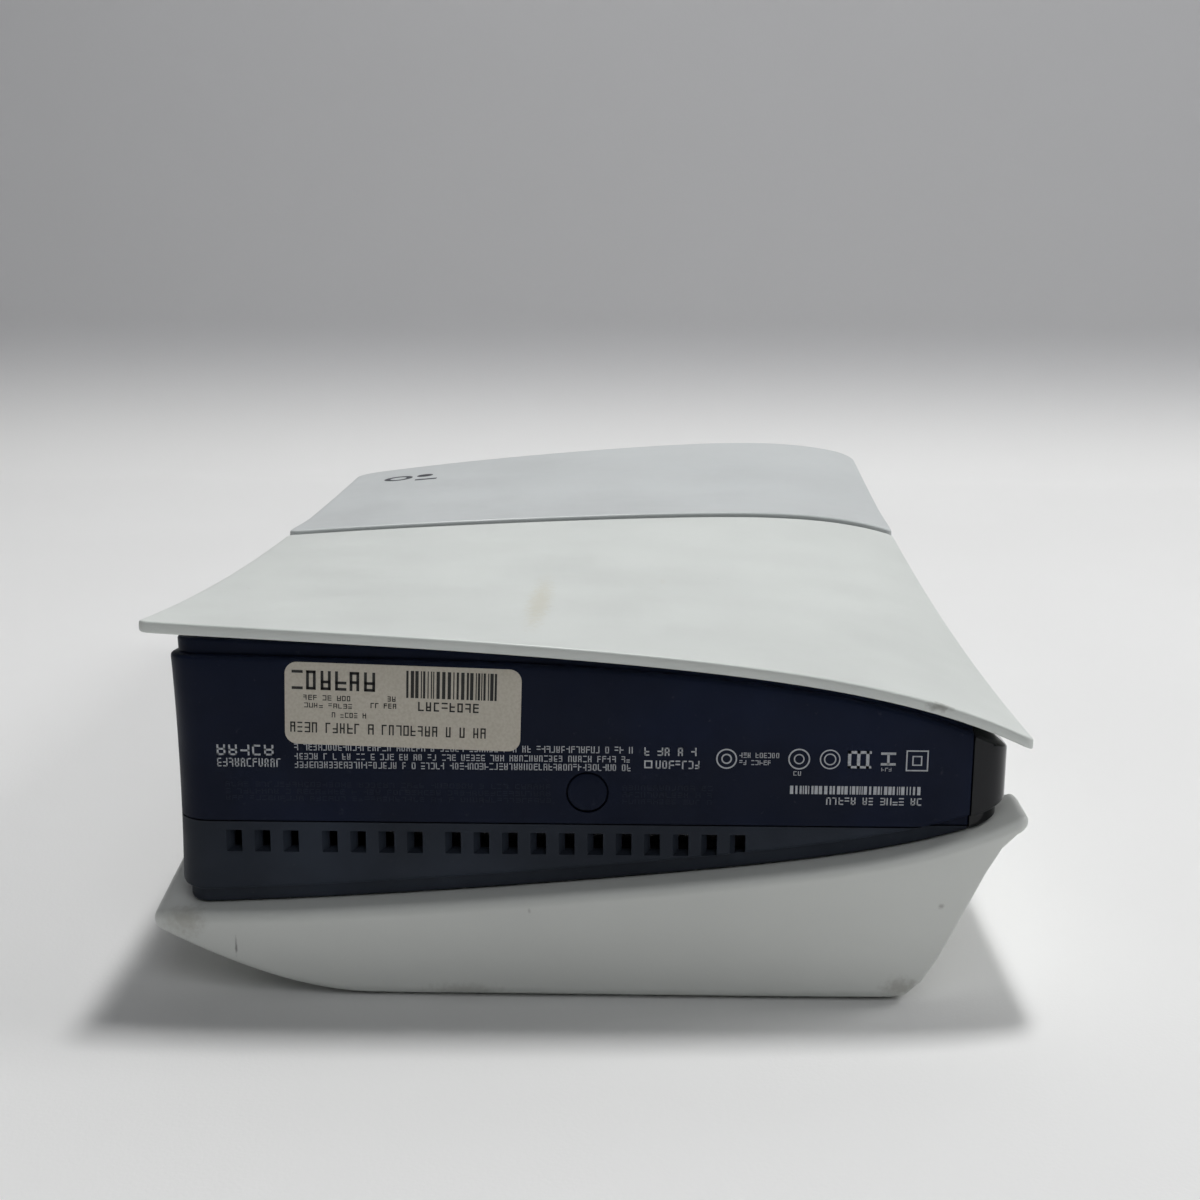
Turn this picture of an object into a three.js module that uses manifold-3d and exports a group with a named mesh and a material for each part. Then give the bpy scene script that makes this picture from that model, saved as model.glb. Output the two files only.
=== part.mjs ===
// A flat-lying game console: two curved white covers on each side of a black housing, with a
// slot-loading disc drive in the bulge underneath. Millimetres, +Z up. +X runs from the stand end to
// the vent end, the front is at -Y and the rear with its sockets is at +Y. The origin is on the
// ground, under the middle of the console.

import * as THREE from "three";
import { mergeVertices } from "three/addons/utils/BufferGeometryUtils.js";
import Module from "manifold-3d";

const wasm = await Module();
wasm.setup();

// ---------------------------------------------------------------- driving dimensions

const LENGTH = 358; // stand end to vent end
const DEPTH = 216; // rear edge to front edge of the covers
const MIDDLE = 56; // height of the plane that the covers mirror about
const COVER_WALL = 3;
const COVER_GAP = 1.2; // air between a cover and the housing
const COVER_CORNER = 9;
const FIT = 0.4; // clearance round a piece that sits in an opening
const TOUCH = 0.3; // gap between two pieces that rest on each other

// Height of a cover's outer skin over the middle plane, as the control net of a bicubic patch.
// A row runs from the rear edge to the front edge, and the rows run from the stand end to the
// vent end. The droop rolls the front edge inwards.
const CROWN = [
  [40, 37, 33, 21.5],
  [24, 27, 24, 16.5],
  [22, 25.5, 24, 26],
  [19.5, 30, 34.5, 39.5],
];
const FRONT_DROOP = 10;
const DROOP_POWER = 8;
const LOWER_LIFT = 2.4; // the lower covers are this much flatter, at most, at the stand end
const LIFT_SKEW = 1.6; // moves the most lifted place towards the front
const END_BOW = 8; // the corners at the stand end sweep back this far
const BOW_POWER = 6;

// The joint between the main and the small covers, which slants across the console.
const SEAM_REAR = 192; // distance from the stand end at the rear edge
const SEAM_FRONT = 236; // and at the front edge
const SEAM_GAP = 1.6;

// The bulge over the disc drive.
const BULGE_REAR_RAMP = 55;
const BULGE_FRONT_LIP = 3;
const BULGE_FRONT_RAMP = 25;
const BULGE_SEAM_LIP = 4;
const BULGE_SEAM_RAMP = 20;
const LEDGE = 12; // width of the flange inside the bulge's rim
const PAD_HEIGHT = 0.6; // moulded pads that the console rests on
const PAD_RADIUS = 7;

// The black housing inside the covers.
const END_INSET = 5; // the end faces sit this far inside the cover rims
const REAR_INSET = 5.5;
const FRONT_INSET = 5;
const HOUSING_WALL = 1.8;
const HOUSING_CORNER = 8;
const PARTING = 44.3; // height of the joint between the housing's halves
const STEP_HEIGHT = 4; // the housing narrows under the covers over this height
const STEP_INSET = 2;
const TRIM_DEPTH = 9.5; // front trim, measured back from its own front face

// Vent slots in the stand end.
const SLOT_WIDTH = 4.3;
const SLOT_HEIGHT = 5.8;
const SLOT_PITCH = 7;
const SLOT_BASE = 36.2;
const SLOT_GROUPS = [
  { from: 18.6, count: 3 },
  { from: 42.2, count: 4 },
  { from: 72.6, count: 11 },
];

// The capped screw hole for an upright stand.
const CAP_RADIUS = 4.9;
const CAP_THICK = 1.6;
const CAP_HEIGHT = 52.5;
const INSERT_RADIUS = 4.2;
const INSERT_BORE = 2.6;
const INSERT_LENGTH = 6;

// The disc drive.
const DRIVE_LENGTH = 160;
const DRIVE_WIDTH = 138;
const DRIVE_HEIGHT = 26;
const DRIVE_TOP = 50.4;
const DRIVE_FROM_END = 16;
const DRIVE_FROM_FRONT = 20;
const DRIVE_WALL = 1.2;
const DISC_RADIUS = 60;
const DISC_PLANE = 46.9;
const DISC_SLOT = 126;
const DISC_SLOT_HEIGHT = 3.2;
const BEZEL_END = 4; // bar left at each end of the slot
const BEZEL_LENGTH = DISC_SLOT + 2 * BEZEL_END;
const BEZEL_LOW = 44.6;
const BEZEL_HIGH = 50;

// The circuit board and what stands on it.
const BOARD_LOW = 52.6;
const BOARD_THICK = 1.6;
const BOARD_TOP = BOARD_LOW + BOARD_THICK;
const BOARD_LENGTH = 116;
const SUPPLY_LENGTH = 76;
const SUPPLY_WIDTH = 118;
const SUPPLY_HEIGHT = 18;
const SINK_LENGTH = 98;
const SINK_WIDTH = 120;
const SINK_HEIGHT = 17;
const SINK_BASE = 8;
const FIN_COUNT = 18;
const FIN_THICK = 0.9;
const PIPE_RADIUS = 2.6;
const SHIELD_THICK = 0.8;

// The fan.
const FAN_RADIUS = 48;
const FAN_HUB = 19;
const FAN_BLADES = 23;
const FAN_HEIGHT = 24;
const FAN_BASE = 44;
const FAN_FROM_END = 84; // fan centre, measured from the vent end
const FAN_CLEARANCE = 2.5;

// Buttons and sockets in the front trim.
const BUTTON_LENGTH = 12;
const BUTTON_WIDTH = 4.2;
const BUTTON_DEPTH = 8;
const BUTTON_PROUD = 0.3;
const BUTTON_TRAVEL = 0.8;
const POWER_FROM_END = 40;
const EJECT_FROM_END = 62;
const BUTTON_HEIGHT = 57.4;
const USB_C = { length: 9.2, width: 3.6, deep: 7, wall: 0.4 };
const USB_C_FROM_END = [204, 222];

// ---------------------------------------------------------------- placing

const HALF_LENGTH = LENGTH / 2;
const HALF_DEPTH = DEPTH / 2;
const fromEnd = (distance) => distance - HALF_LENGTH; // x at a distance from the stand end
const fromRear = (distance) => HALF_DEPTH - distance; // y at a distance from the rear edge
const fromFront = (distance) => distance - HALF_DEPTH; // y at a distance from the front edge
const clamp01 = (value) => Math.min(1, Math.max(0, value));
const smooth = (value) => clamp01(value) ** 2 * (3 - 2 * clamp01(value));

const HOUSING_REAR = HALF_DEPTH - REAR_INSET;
const HOUSING_FRONT = FRONT_INSET - HALF_DEPTH;
const HOUSING_END = END_INSET - HALF_LENGTH;
const HOUSING_FAR = HALF_LENGTH - END_INSET;
const TRIM_BACK = HOUSING_FRONT + TRIM_DEPTH;

// ---------------------------------------------------------------- solids

// A closed three.js geometry as a manifold solid.
function solid(geometry) {
  const bare = geometry.index ? geometry.toNonIndexed() : geometry.clone();
  bare.deleteAttribute("normal");
  bare.deleteAttribute("uv");
  const merged = mergeVertices(bare, 1e-4);
  return new wasm.Manifold(
    new wasm.Mesh({
      numProp: 3,
      vertProperties: new Float32Array(merged.attributes.position.array),
      triVerts: new Uint32Array(merged.index.array),
    }),
  );
}

// A manifold solid back as a three.js geometry.
function geometryOf(body) {
  const mesh = body.getMesh();
  const points = new Float32Array(mesh.numVert * 3);
  for (let i = 0; i < mesh.numVert; i++) {
    const start = i * mesh.numProp;
    points.set(mesh.vertProperties.subarray(start, start + 3), i * 3);
  }
  const geometry = new THREE.BufferGeometry();
  geometry.setAttribute("position", new THREE.BufferAttribute(points, 3));
  geometry.setIndex(new THREE.BufferAttribute(new Uint32Array(mesh.triVerts), 1));
  geometry.computeVertexNormals();
  return geometry;
}

const joined = (parts) => parts.reduce((whole, part) => whole.add(part));
const cutBy = (body, cutters) => cutters.reduce((rest, cutter) => rest.subtract(cutter), body);

// A box between two corners.
function block([x0, x1], [y0, y1], [z0, z1]) {
  const box = new THREE.BoxGeometry(Math.abs(x1 - x0), Math.abs(y1 - y0), Math.abs(z1 - z0));
  box.translate((x0 + x1) / 2, (y0 + y1) / 2, (z0 + z1) / 2);
  return solid(box);
}

// A cylinder that starts at a point and runs along an axis.
function rod(start, axis, radius, length, sides = 24) {
  const cylinder = new THREE.CylinderGeometry(radius, radius, length, sides);
  cylinder.translate(0, length / 2, 0);
  const turn = new THREE.Quaternion().setFromUnitVectors(
    new THREE.Vector3(0, 1, 0),
    new THREE.Vector3(...axis).normalize(),
  );
  cylinder.applyQuaternion(turn);
  cylinder.translate(...start);
  return solid(cylinder);
}

// A ring: a cylinder with a bore right through it.
function ring(start, axis, outer, inner, length, sides = 24) {
  const back = start.map((value, i) => value - axis[i]);
  return rod(start, axis, outer, length, sides).subtract(rod(back, axis, inner, length + 2, sides));
}

// A rectangle with rounded corners in plan, as an upright prism.
function plate([x0, x1], [y0, y1], radius, [z0, z1], segments = 5) {
  const shape = new THREE.Shape();
  shape.moveTo(x0 + radius, y0);
  shape.lineTo(x1 - radius, y0);
  shape.absarc(x1 - radius, y0 + radius, radius, -Math.PI / 2, 0);
  shape.lineTo(x1, y1 - radius);
  shape.absarc(x1 - radius, y1 - radius, radius, 0, Math.PI / 2);
  shape.lineTo(x0 + radius, y1);
  shape.absarc(x0 + radius, y1 - radius, radius, Math.PI / 2, Math.PI);
  shape.lineTo(x0, y0 + radius);
  shape.absarc(x0 + radius, y0 + radius, radius, Math.PI, 1.5 * Math.PI);
  return prism(shape, [z0, z1], segments);
}

function prism(shape, [z0, z1], segments = 5) {
  const options = { depth: z1 - z0, bevelEnabled: false, curveSegments: segments };
  const extruded = new THREE.ExtrudeGeometry(shape, options);
  extruded.translate(0, 0, z0);
  return solid(extruded);
}

// An upright prism over a polygon given by its corners.
function polygonPrism(corners, heights) {
  return prism(new THREE.Shape(corners.map(([x, y]) => new THREE.Vector2(x, y))), heights);
}

// A pill shape that runs along X and sticks out along Y, such as a button or a socket.
function pill(x, z, length, width, [y0, y1]) {
  const radius = width / 2;
  const reach = length / 2 - radius;
  const shape = new THREE.Shape();
  shape.moveTo(-reach, -radius);
  shape.lineTo(reach, -radius);
  shape.absarc(reach, 0, radius, -Math.PI / 2, Math.PI / 2);
  shape.lineTo(-reach, radius);
  shape.absarc(-reach, 0, radius, Math.PI / 2, 1.5 * Math.PI);
  const extruded = new THREE.ExtrudeGeometry(shape, {
    depth: y1 - y0,
    bevelEnabled: false,
    curveSegments: 6,
  });
  extruded.rotateX(Math.PI / 2);
  extruded.translate(x, y1, z);
  return solid(extruded);
}

// Evenly spaced numbers from one value to another.
function steps(from, to, count) {
  return Array.from({ length: count + 1 }, (_, i) => from + ((to - from) * i) / count);
}

// The closed solid between two height functions, over a grid of x and y lines. The lines across the
// console may slant: then lineX gives a line's x at each y.
function slab(xs, ys, low, high, lineX = (x) => x) {
  const nx = xs.length;
  const ny = ys.length;
  const points = [];
  for (const height of [low, high])
    for (const line of xs)
      for (const y of ys) {
        const x = lineX(line, y);
        points.push(x, y, height(x, y));
      }
  const at = (layer, i, j) => layer * nx * ny + i * ny + j;
  const faces = [];
  const quad = (a, b, c, d) => faces.push(a, b, c, a, c, d);
  for (let i = 0; i < nx - 1; i++)
    for (let j = 0; j < ny - 1; j++) {
      quad(at(1, i, j), at(1, i + 1, j), at(1, i + 1, j + 1), at(1, i, j + 1));
      quad(at(0, i, j), at(0, i, j + 1), at(0, i + 1, j + 1), at(0, i + 1, j));
    }
  for (let i = 0; i < nx - 1; i++) {
    quad(at(0, i, 0), at(0, i + 1, 0), at(1, i + 1, 0), at(1, i, 0));
    quad(at(0, i + 1, ny - 1), at(0, i, ny - 1), at(1, i, ny - 1), at(1, i + 1, ny - 1));
  }
  for (let j = 0; j < ny - 1; j++) {
    quad(at(0, 0, j + 1), at(0, 0, j), at(1, 0, j), at(1, 0, j + 1));
    quad(at(0, nx - 1, j), at(0, nx - 1, j + 1), at(1, nx - 1, j + 1), at(1, nx - 1, j));
  }
  const geometry = new THREE.BufferGeometry();
  geometry.setAttribute("position", new THREE.Float32BufferAttribute(points, 3));
  geometry.setIndex(faces);
  return solid(geometry);
}

// ---------------------------------------------------------------- shape of the covers

// Height of a cover's skin over the middle plane at a place in plan.
function crown(x, y) {
  const s = clamp01((HALF_DEPTH - y) / DEPTH);
  const t = clamp01((x + HALF_LENGTH) / LENGTH);
  const weights = (k) => [(1 - k) ** 3, 3 * k * (1 - k) ** 2, 3 * k * k * (1 - k), k ** 3];
  const across = weights(s);
  const along = weights(t);
  let height = -FRONT_DROOP * s ** DROOP_POWER;
  CROWN.forEach((row, j) => row.forEach((value, i) => (height += value * across[i] * along[j])));
  return height;
}

// How far a place lies before the seam, measured along X.
function beforeSeam(x, y) {
  const share = (HALF_DEPTH - y) / DEPTH;
  return SEAM_REAR + (SEAM_FRONT - SEAM_REAR) * share - (x + HALF_LENGTH);
}

// 0 where the lower cover follows the crown and 1 on the flat underside of the bulge.
function bulge(x, y) {
  const rear = Math.sin((Math.PI / 2) * clamp01((HALF_DEPTH - y) / BULGE_REAR_RAMP));
  const front = smooth((HALF_DEPTH + y - BULGE_FRONT_LIP) / BULGE_FRONT_RAMP);
  const far = smooth((beforeSeam(x, y) - BULGE_SEAM_LIP) / BULGE_SEAM_RAMP);
  return rear * front * far;
}

const upperSkin = (x, y) => MIDDLE + crown(x, y);
function lowerSkin(x, y) {
  const s = clamp01((HALF_DEPTH - y) / DEPTH);
  const t = clamp01((x + HALF_LENGTH) / LENGTH);
  return MIDDLE - crown(x, y) + LOWER_LIFT * (1 - t) * Math.sin(Math.PI * s ** LIFT_SKEW);
}
function bulgeSkin(x, y) {
  const share = bulge(x, y);
  return lowerSkin(x, y) * (1 - share) + PAD_HEIGHT * share;
}

// The inner face of the bulge, a wall's thickness away at right angles to its skin.
function bulgeLining(x, y) {
  const reach = 0.5;
  const slopeX = bulgeSkin(x + reach, y) - bulgeSkin(x - reach, y);
  const slopeY = bulgeSkin(x, y + reach) - bulgeSkin(x, y - reach);
  return bulgeSkin(x, y) + COVER_WALL * Math.hypot(1, slopeX, slopeY);
}

const CROWN_XS = steps(-HALF_LENGTH, HALF_LENGTH, 20);
const CROWN_YS = [
  ...steps(-HALF_DEPTH, fromFront(32), 4),
  ...steps(fromFront(32), HALF_DEPTH, 8).slice(1),
];
const FULL_HEIGHT = [-10, 200];

// The covers' outline in plan: its end edge at the stand end is bowed, and its corners are round.
function coverPlanSolid() {
  const bow = (y) => -HALF_LENGTH + END_BOW * Math.abs(y / HALF_DEPTH) ** BOW_POWER;
  const edgeYs = steps(-HALF_DEPTH, HALF_DEPTH, 24);
  const far = HALF_LENGTH + 1;
  const corners = [[far, HALF_DEPTH], ...edgeYs.reverse().map((y) => [bow(y), y])];
  corners.push([far, -HALF_DEPTH]);
  const bowed = polygonPrism(corners, FULL_HEIGHT);
  const sides = [-HALF_DEPTH, HALF_DEPTH];
  const roundEnds = plate([-HALF_LENGTH, HALF_LENGTH], sides, COVER_CORNER, FULL_HEIGHT);
  return bowed.intersect(roundEnds);
}
const coverPlan = coverPlanSolid();

// Everything on one side of the seam: side -1 towards the stand end, 1 towards the vent end.
function besideSeam(side) {
  const outside = DEPTH;
  const slant = (SEAM_FRONT - SEAM_REAR) / DEPTH;
  const edge = (y) => fromEnd(SEAM_REAR + slant * (HALF_DEPTH - y)) + (side * SEAM_GAP) / 2;
  const far = side * LENGTH;
  const corners = [
    [edge(-outside), -outside],
    [far, -outside],
    [far, outside],
    [edge(outside), outside],
  ];
  return polygonPrism(side > 0 ? corners : corners.reverse(), FULL_HEIGHT);
}

// ---------------------------------------------------------------- the four covers

function upperCovers() {
  const inner = (x, y) => upperSkin(x, y) - COVER_WALL;
  const sheet = slab(CROWN_XS, CROWN_YS, inner, upperSkin).intersect(coverPlan);
  return [sheet.intersect(besideSeam(-1)), sheet.intersect(besideSeam(1))];
}

function smallLowerCover() {
  const inner = (x, y) => lowerSkin(x, y) + COVER_WALL;
  const sheet = slab(CROWN_XS, CROWN_YS, lowerSkin, inner).intersect(coverPlan);
  return sheet.intersect(besideSeam(1));
}

// The pads under the bulge: a row of small bars and dots at the rim and three round ones.
function restingPads() {
  const heights = [0, PAD_HEIGHT + 0.8];
  const round = (x, y) => rod([x, y, 0], [0, 0, 1], PAD_RADIUS, heights[1], 20);
  const beforeRamp = BULGE_SEAM_LIP + BULGE_SEAM_RAMP + PAD_RADIUS + 1;
  const byTheSeam = (y) => round(beforeSeam(-HALF_LENGTH, y) - HALF_LENGTH - beforeRamp, y);
  const barSize = [1, 8];
  const bars = [60, 76].map((rear) => {
    const ys = [fromRear(rear + 2.5), fromRear(rear - 2.5)];
    return block(barSize.map(fromEnd), ys, heights);
  });
  const dots = [65.6, 70.4].map((rear) =>
    rod([fromEnd(4.5), fromRear(rear), 0], [0, 0, 1], 1.9, heights[1], 14),
  );
  return joined([
    ...bars,
    ...dots,
    round(fromEnd(18), fromFront(48)),
    byTheSeam(fromRear(78)),
    byTheSeam(fromFront(48)),
  ]);
}

function mainLowerCover() {
  const flatFrom = BULGE_FRONT_LIP + BULGE_FRONT_RAMP;
  const frontYs = steps(fromFront(BULGE_FRONT_LIP), fromFront(flatFrom), 6);
  const middleYs = steps(fromFront(flatFrom), fromRear(BULGE_REAR_RAMP), 3).slice(1);
  const rearYs = steps(fromRear(BULGE_REAR_RAMP), HALF_DEPTH, 6).slice(1);
  const ys = [-HALF_DEPTH, ...frontYs, ...middleYs, ...rearYs];
  // Lines 0 to 1 run from the stand end to the foot of the ramp, and 1 to 2 from there to the seam.
  const rampWidth = BULGE_SEAM_LIP + BULGE_SEAM_RAMP;
  const lineX = (line, y) => {
    const seam = -HALF_LENGTH + beforeSeam(-HALF_LENGTH, y);
    const foot = seam - rampWidth;
    return line < 1 ? -HALF_LENGTH + (foot + HALF_LENGTH) * line : foot + rampWidth * (line - 1);
  };
  const lines = [...steps(0, 1, 5), ...steps(1, 2, 8).slice(1)];
  const skin = slab(lines, ys, bulgeSkin, bulgeLining, lineX);
  const inset = 0.1; // keeps the flange inside the skin where the two run together
  const ledgeLow = (x, y) => lowerSkin(x, y) + inset;
  const ledgeTop = (x, y) => lowerSkin(x, y) + COVER_WALL - inset;
  const ledge = slab(lines, ys, ledgeLow, ledgeTop, lineX).subtract(
    block(
      [-HALF_LENGTH + LEDGE, HALF_LENGTH],
      [-HALF_DEPTH + LEDGE, HALF_DEPTH - LEDGE],
      FULL_HEIGHT,
    ),
  );
  const endXs = [-HALF_LENGTH, -HALF_LENGTH + COVER_WALL];
  const endWall = slab(endXs, ys, (x, y) => bulgeSkin(x, y) + inset, ledgeTop);
  const notch = block(
    [driveMiddle() - BEZEL_LENGTH / 2 - FIT, driveMiddle() + BEZEL_LENGTH / 2 + FIT],
    [-HALF_DEPTH - 1, -HALF_DEPTH + 14],
    [BEZEL_LOW - 1, FULL_HEIGHT[1]],
  );
  const whole = joined([skin, ledge, endWall]).intersect(coverPlan).intersect(besideSeam(-1));
  return joined([whole.subtract(notch), restingPads()]);
}

// ---------------------------------------------------------------- the housing

const driveMiddle = () => fromEnd(DRIVE_FROM_END + DRIVE_LENGTH / 2);
const housingTop = (x, y) => upperSkin(x, y) - COVER_WALL - COVER_GAP;
const housingBottom = (x, y) => lowerSkin(x, y) + COVER_WALL + COVER_GAP;

// The housing's shape, shrunk by a distance: it steps in where it goes under the covers, and the
// hollow inside it has plain sides.
function housingShape(shrink) {
  const xs = steps(-HALF_LENGTH, HALF_LENGTH, 10);
  const layer = (inset, drop) => {
    const top = (x, y) => housingTop(x, y) - drop - shrink;
    const bottom = (x, y) => housingBottom(x, y) + drop + shrink;
    const plan = plate(
      [HOUSING_END + inset + shrink, HOUSING_FAR - inset - shrink],
      [HOUSING_FRONT + inset + shrink, HOUSING_REAR - inset - shrink],
      HOUSING_CORNER - shrink - inset,
      FULL_HEIGHT,
    );
    return slab(xs, CROWN_YS, bottom, top).intersect(plan);
  };
  return shrink > 0 ? layer(STEP_INSET, 0) : layer(0, STEP_HEIGHT).add(layer(STEP_INSET, 0));
}

const WIDE = [-LENGTH, LENGTH];
const behindTrim = block(WIDE, [TRIM_BACK, DEPTH], FULL_HEIGHT);
const beforeTrim = block(WIDE, [-DEPTH, TRIM_BACK - TOUCH / 2], FULL_HEIGHT);
const aboveParting = block(WIDE, WIDE, [PARTING + TOUCH / 2, 200]);
const belowParting = block(WIDE, WIDE, [-10, PARTING - TOUCH / 2]);
const housingShell = housingShape(0).subtract(housingShape(HOUSING_WALL));

const FAN_CENTRE = [fromEnd(LENGTH - FAN_FROM_END), 0];
const fanIntake = rod([...FAN_CENTRE, PARTING + 10], [0, 0, 1], FAN_RADIUS + 1, 90, 32);

// The circuit board runs from the power supply to the fan.
const SUPPLY_X = [HOUSING_END + 11, HOUSING_END + 11 + SUPPLY_LENGTH];
const SUPPLY_Y = [HOUSING_REAR - 24 - SUPPLY_WIDTH, HOUSING_REAR - 24];
const BOARD_X = [SUPPLY_X[1] + 3, SUPPLY_X[1] + 3 + BOARD_LENGTH];
const BOARD_Y = [TRIM_BACK + 4, HOUSING_REAR - 7];
const SINK_X = [BOARD_X[0] + 4, BOARD_X[0] + 4 + SINK_LENGTH];
const SINK_Y = [HOUSING_REAR - 20 - SINK_WIDTH, HOUSING_REAR - 20];

// The hatch over the storage module, between the heat sink and the front trim.
const HATCH_X = [SINK_X[0] + 4, SINK_X[0] + 88];
const HATCH_Y = [SINK_Y[0] - 33, SINK_Y[0] - 5];
const hatchPrism = (gap) =>
  plate(
    [HATCH_X[0] - gap, HATCH_X[1] + gap],
    [HATCH_Y[0] - gap, HATCH_Y[1] + gap],
    3,
    [BOARD_TOP + 4, 200],
  );

// Rear openings: the exhaust and the sockets.
const EXHAUST_X = [fromEnd(108), fromEnd(LENGTH - 18)];
const EXHAUST_Z = [PARTING + 3, 69];
const SOCKETS = [
  { name: "mains_inlet", from: 25, width: 20, height: 12.5, deep: 22.5 },
  { name: "lan_port", from: 46, width: 15.6, height: 13.4, deep: 15 },
  { name: "hdmi_port", from: 63.5, width: 15, height: 5.8, deep: 10 },
  { name: "usb_a_port_1", from: 80, width: 14.4, height: 6.8, deep: 13 },
  { name: "usb_a_port_2", from: 96.5, width: 14.4, height: 6.8, deep: 13 },
];
const SOCKET_RECESS = 0.8; // a socket's mouth sits this far inside the housing's rear face
const socketBox = ({ from, width, height, deep }, gap, reach) =>
  block(
    [fromEnd(from) - width / 2 - gap, fromEnd(from) + width / 2 + gap],
    [HOUSING_REAR - SOCKET_RECESS - deep - gap, HOUSING_REAR - SOCKET_RECESS + reach],
    [BOARD_TOP + TOUCH - gap, BOARD_TOP + TOUCH + height + gap],
  );

function upperHousing() {
  const rearOpening = block(EXHAUST_X, [HOUSING_REAR - 5, HALF_DEPTH], EXHAUST_Z);
  const capSeat = rod(
    [HOUSING_END - 1, 0, CAP_HEIGHT],
    [1, 0, 0],
    CAP_RADIUS + FIT / 2,
    CAP_THICK + TOUCH + 1,
    24,
  );
  const insertHole = rod([HOUSING_END, 0, CAP_HEIGHT], [1, 0, 0], INSERT_RADIUS + FIT / 2, 8, 24);
  const shell = housingShell.intersect(aboveParting).intersect(behindTrim);
  return cutBy(shell, [
    fanIntake,
    rearOpening,
    capSeat,
    insertHole,
    hatchPrism(FIT),
    driveBay(),
    ...SOCKETS.map((socket) => socketBox(socket, FIT, 8)),
  ]);
}

// The room that the disc drive and its slot take up in the housing.
function driveBay() {
  return block(
    [DRIVE_X[0] - FIT, DRIVE_X[1] + FIT],
    [-DEPTH, DRIVE_Y[1] + FIT],
    [-10, DRIVE_TOP + FIT],
  );
}

// Where the vent slots are, as distances from the rear edge.
function slotPlaces() {
  return SLOT_GROUPS.flatMap(({ from, count }) =>
    Array.from({ length: count }, (_, i) => from + i * SLOT_PITCH),
  );
}

function lowerHousing() {
  const slots = slotPlaces().map((rear) =>
    block(
      [HOUSING_END - 1, HOUSING_END + STEP_INSET + HOUSING_WALL + 1],
      [fromRear(rear + SLOT_WIDTH), fromRear(rear)],
      [SLOT_BASE, SLOT_BASE + SLOT_HEIGHT],
    ),
  );
  const shell = housingShell.intersect(belowParting).intersect(behindTrim);
  return cutBy(shell, [...slots, driveBay()]);
}

// ---------------------------------------------------------------- front trim, buttons, sockets

const buttonHole = (end, gap, ys) =>
  pill(fromEnd(end), BUTTON_HEIGHT, BUTTON_LENGTH + 2 * gap, BUTTON_WIDTH + 2 * gap, ys);
const usbHole = (end, gap, ys) =>
  pill(fromEnd(end), MIDDLE, USB_C.length + 2 * gap, USB_C.width + 2 * gap, ys);

function frontTrim() {
  const through = [-DEPTH, TRIM_BACK + 5];
  const notch = block(
    [driveMiddle() - BEZEL_LENGTH / 2 - FIT, driveMiddle() + BEZEL_LENGTH / 2 + FIT],
    through,
    [-10, BEZEL_HIGH + FIT],
  );
  return cutBy(housingShell.intersect(beforeTrim), [
    notch,
    buttonHole(POWER_FROM_END, FIT, through),
    buttonHole(EJECT_FROM_END, FIT, through),
    ...USB_C_FROM_END.map((end) => usbHole(end, FIT / 2, through)),
  ]);
}

// A button: a pill with a wider flange behind the trim that keeps it in.
function button(end) {
  const front = HOUSING_FRONT - BUTTON_PROUD;
  const cap = buttonHole(end, 0, [front, front + BUTTON_DEPTH]);
  const flangeStart = HOUSING_FRONT + STEP_INSET + HOUSING_WALL + BUTTON_TRAVEL + TOUCH;
  const flange = buttonHole(end, 0.9, [flangeStart, front + BUTTON_DEPTH]);
  return cap.add(flange);
}

// A USB-C socket: a metal pill tube with a closed back and a tongue in its middle.
function usbC(end) {
  const mouth = HOUSING_FRONT + 0.3;
  const shell = usbHole(end, 0, [mouth, mouth + USB_C.deep]);
  const hollow = usbHole(end, -USB_C.wall, [mouth - 1, mouth + USB_C.deep - USB_C.wall]);
  const tongue = block(
    [fromEnd(end) - 3, fromEnd(end) + 3],
    [mouth + 1, mouth + USB_C.deep - USB_C.wall / 2],
    [MIDDLE - 0.35, MIDDLE + 0.35],
  );
  return shell.subtract(hollow).add(tongue);
}

// ---------------------------------------------------------------- rear sockets

// A socket's hollow metal or plastic shell, with whatever stands inside it.
function socketShell(socket, wall) {
  const { from, width, height, deep } = socket;
  const low = BOARD_TOP + TOUCH;
  const mouth = HOUSING_REAR - SOCKET_RECESS;
  const hollow = block(
    [fromEnd(from) - width / 2 + wall, fromEnd(from) + width / 2 - wall],
    [mouth - deep + wall, mouth + 1],
    [low + wall, low + height - wall],
  );
  return socketBox(socket, 0, 0).subtract(hollow);
}

function tongueOf(socket, wall, half, thick, lift) {
  const { from, deep } = socket;
  const mouth = HOUSING_REAR - SOCKET_RECESS;
  return block(
    [fromEnd(from) - half, fromEnd(from) + half],
    [mouth - deep + wall / 2, mouth - 1.5],
    [BOARD_TOP + TOUCH + lift, BOARD_TOP + TOUCH + lift + thick],
  );
}

function rearSocket(socket) {
  const { name, from, height, deep } = socket;
  if (name === "mains_inlet") {
    const wall = 2;
    const pinSpacing = 4.3;
    const middle = BOARD_TOP + TOUCH + height / 2;
    const back = HOUSING_REAR - SOCKET_RECESS - deep + wall / 2;
    const pins = [-pinSpacing, pinSpacing].map((shift) =>
      rod([fromEnd(from) + shift, back, middle], [0, 1, 0], 1.2, deep - 5, 12),
    );
    return joined([socketShell(socket, wall), ...pins]);
  }
  if (name === "lan_port") {
    const wall = 1.2;
    return socketShell(socket, wall).add(tongueOf(socket, wall, 4, 1.4, height - wall - 1));
  }
  const wall = 0.5;
  return socketShell(socket, wall).add(tongueOf(socket, wall, 5.2, 1.6, height / 2 - 0.2));
}

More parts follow.
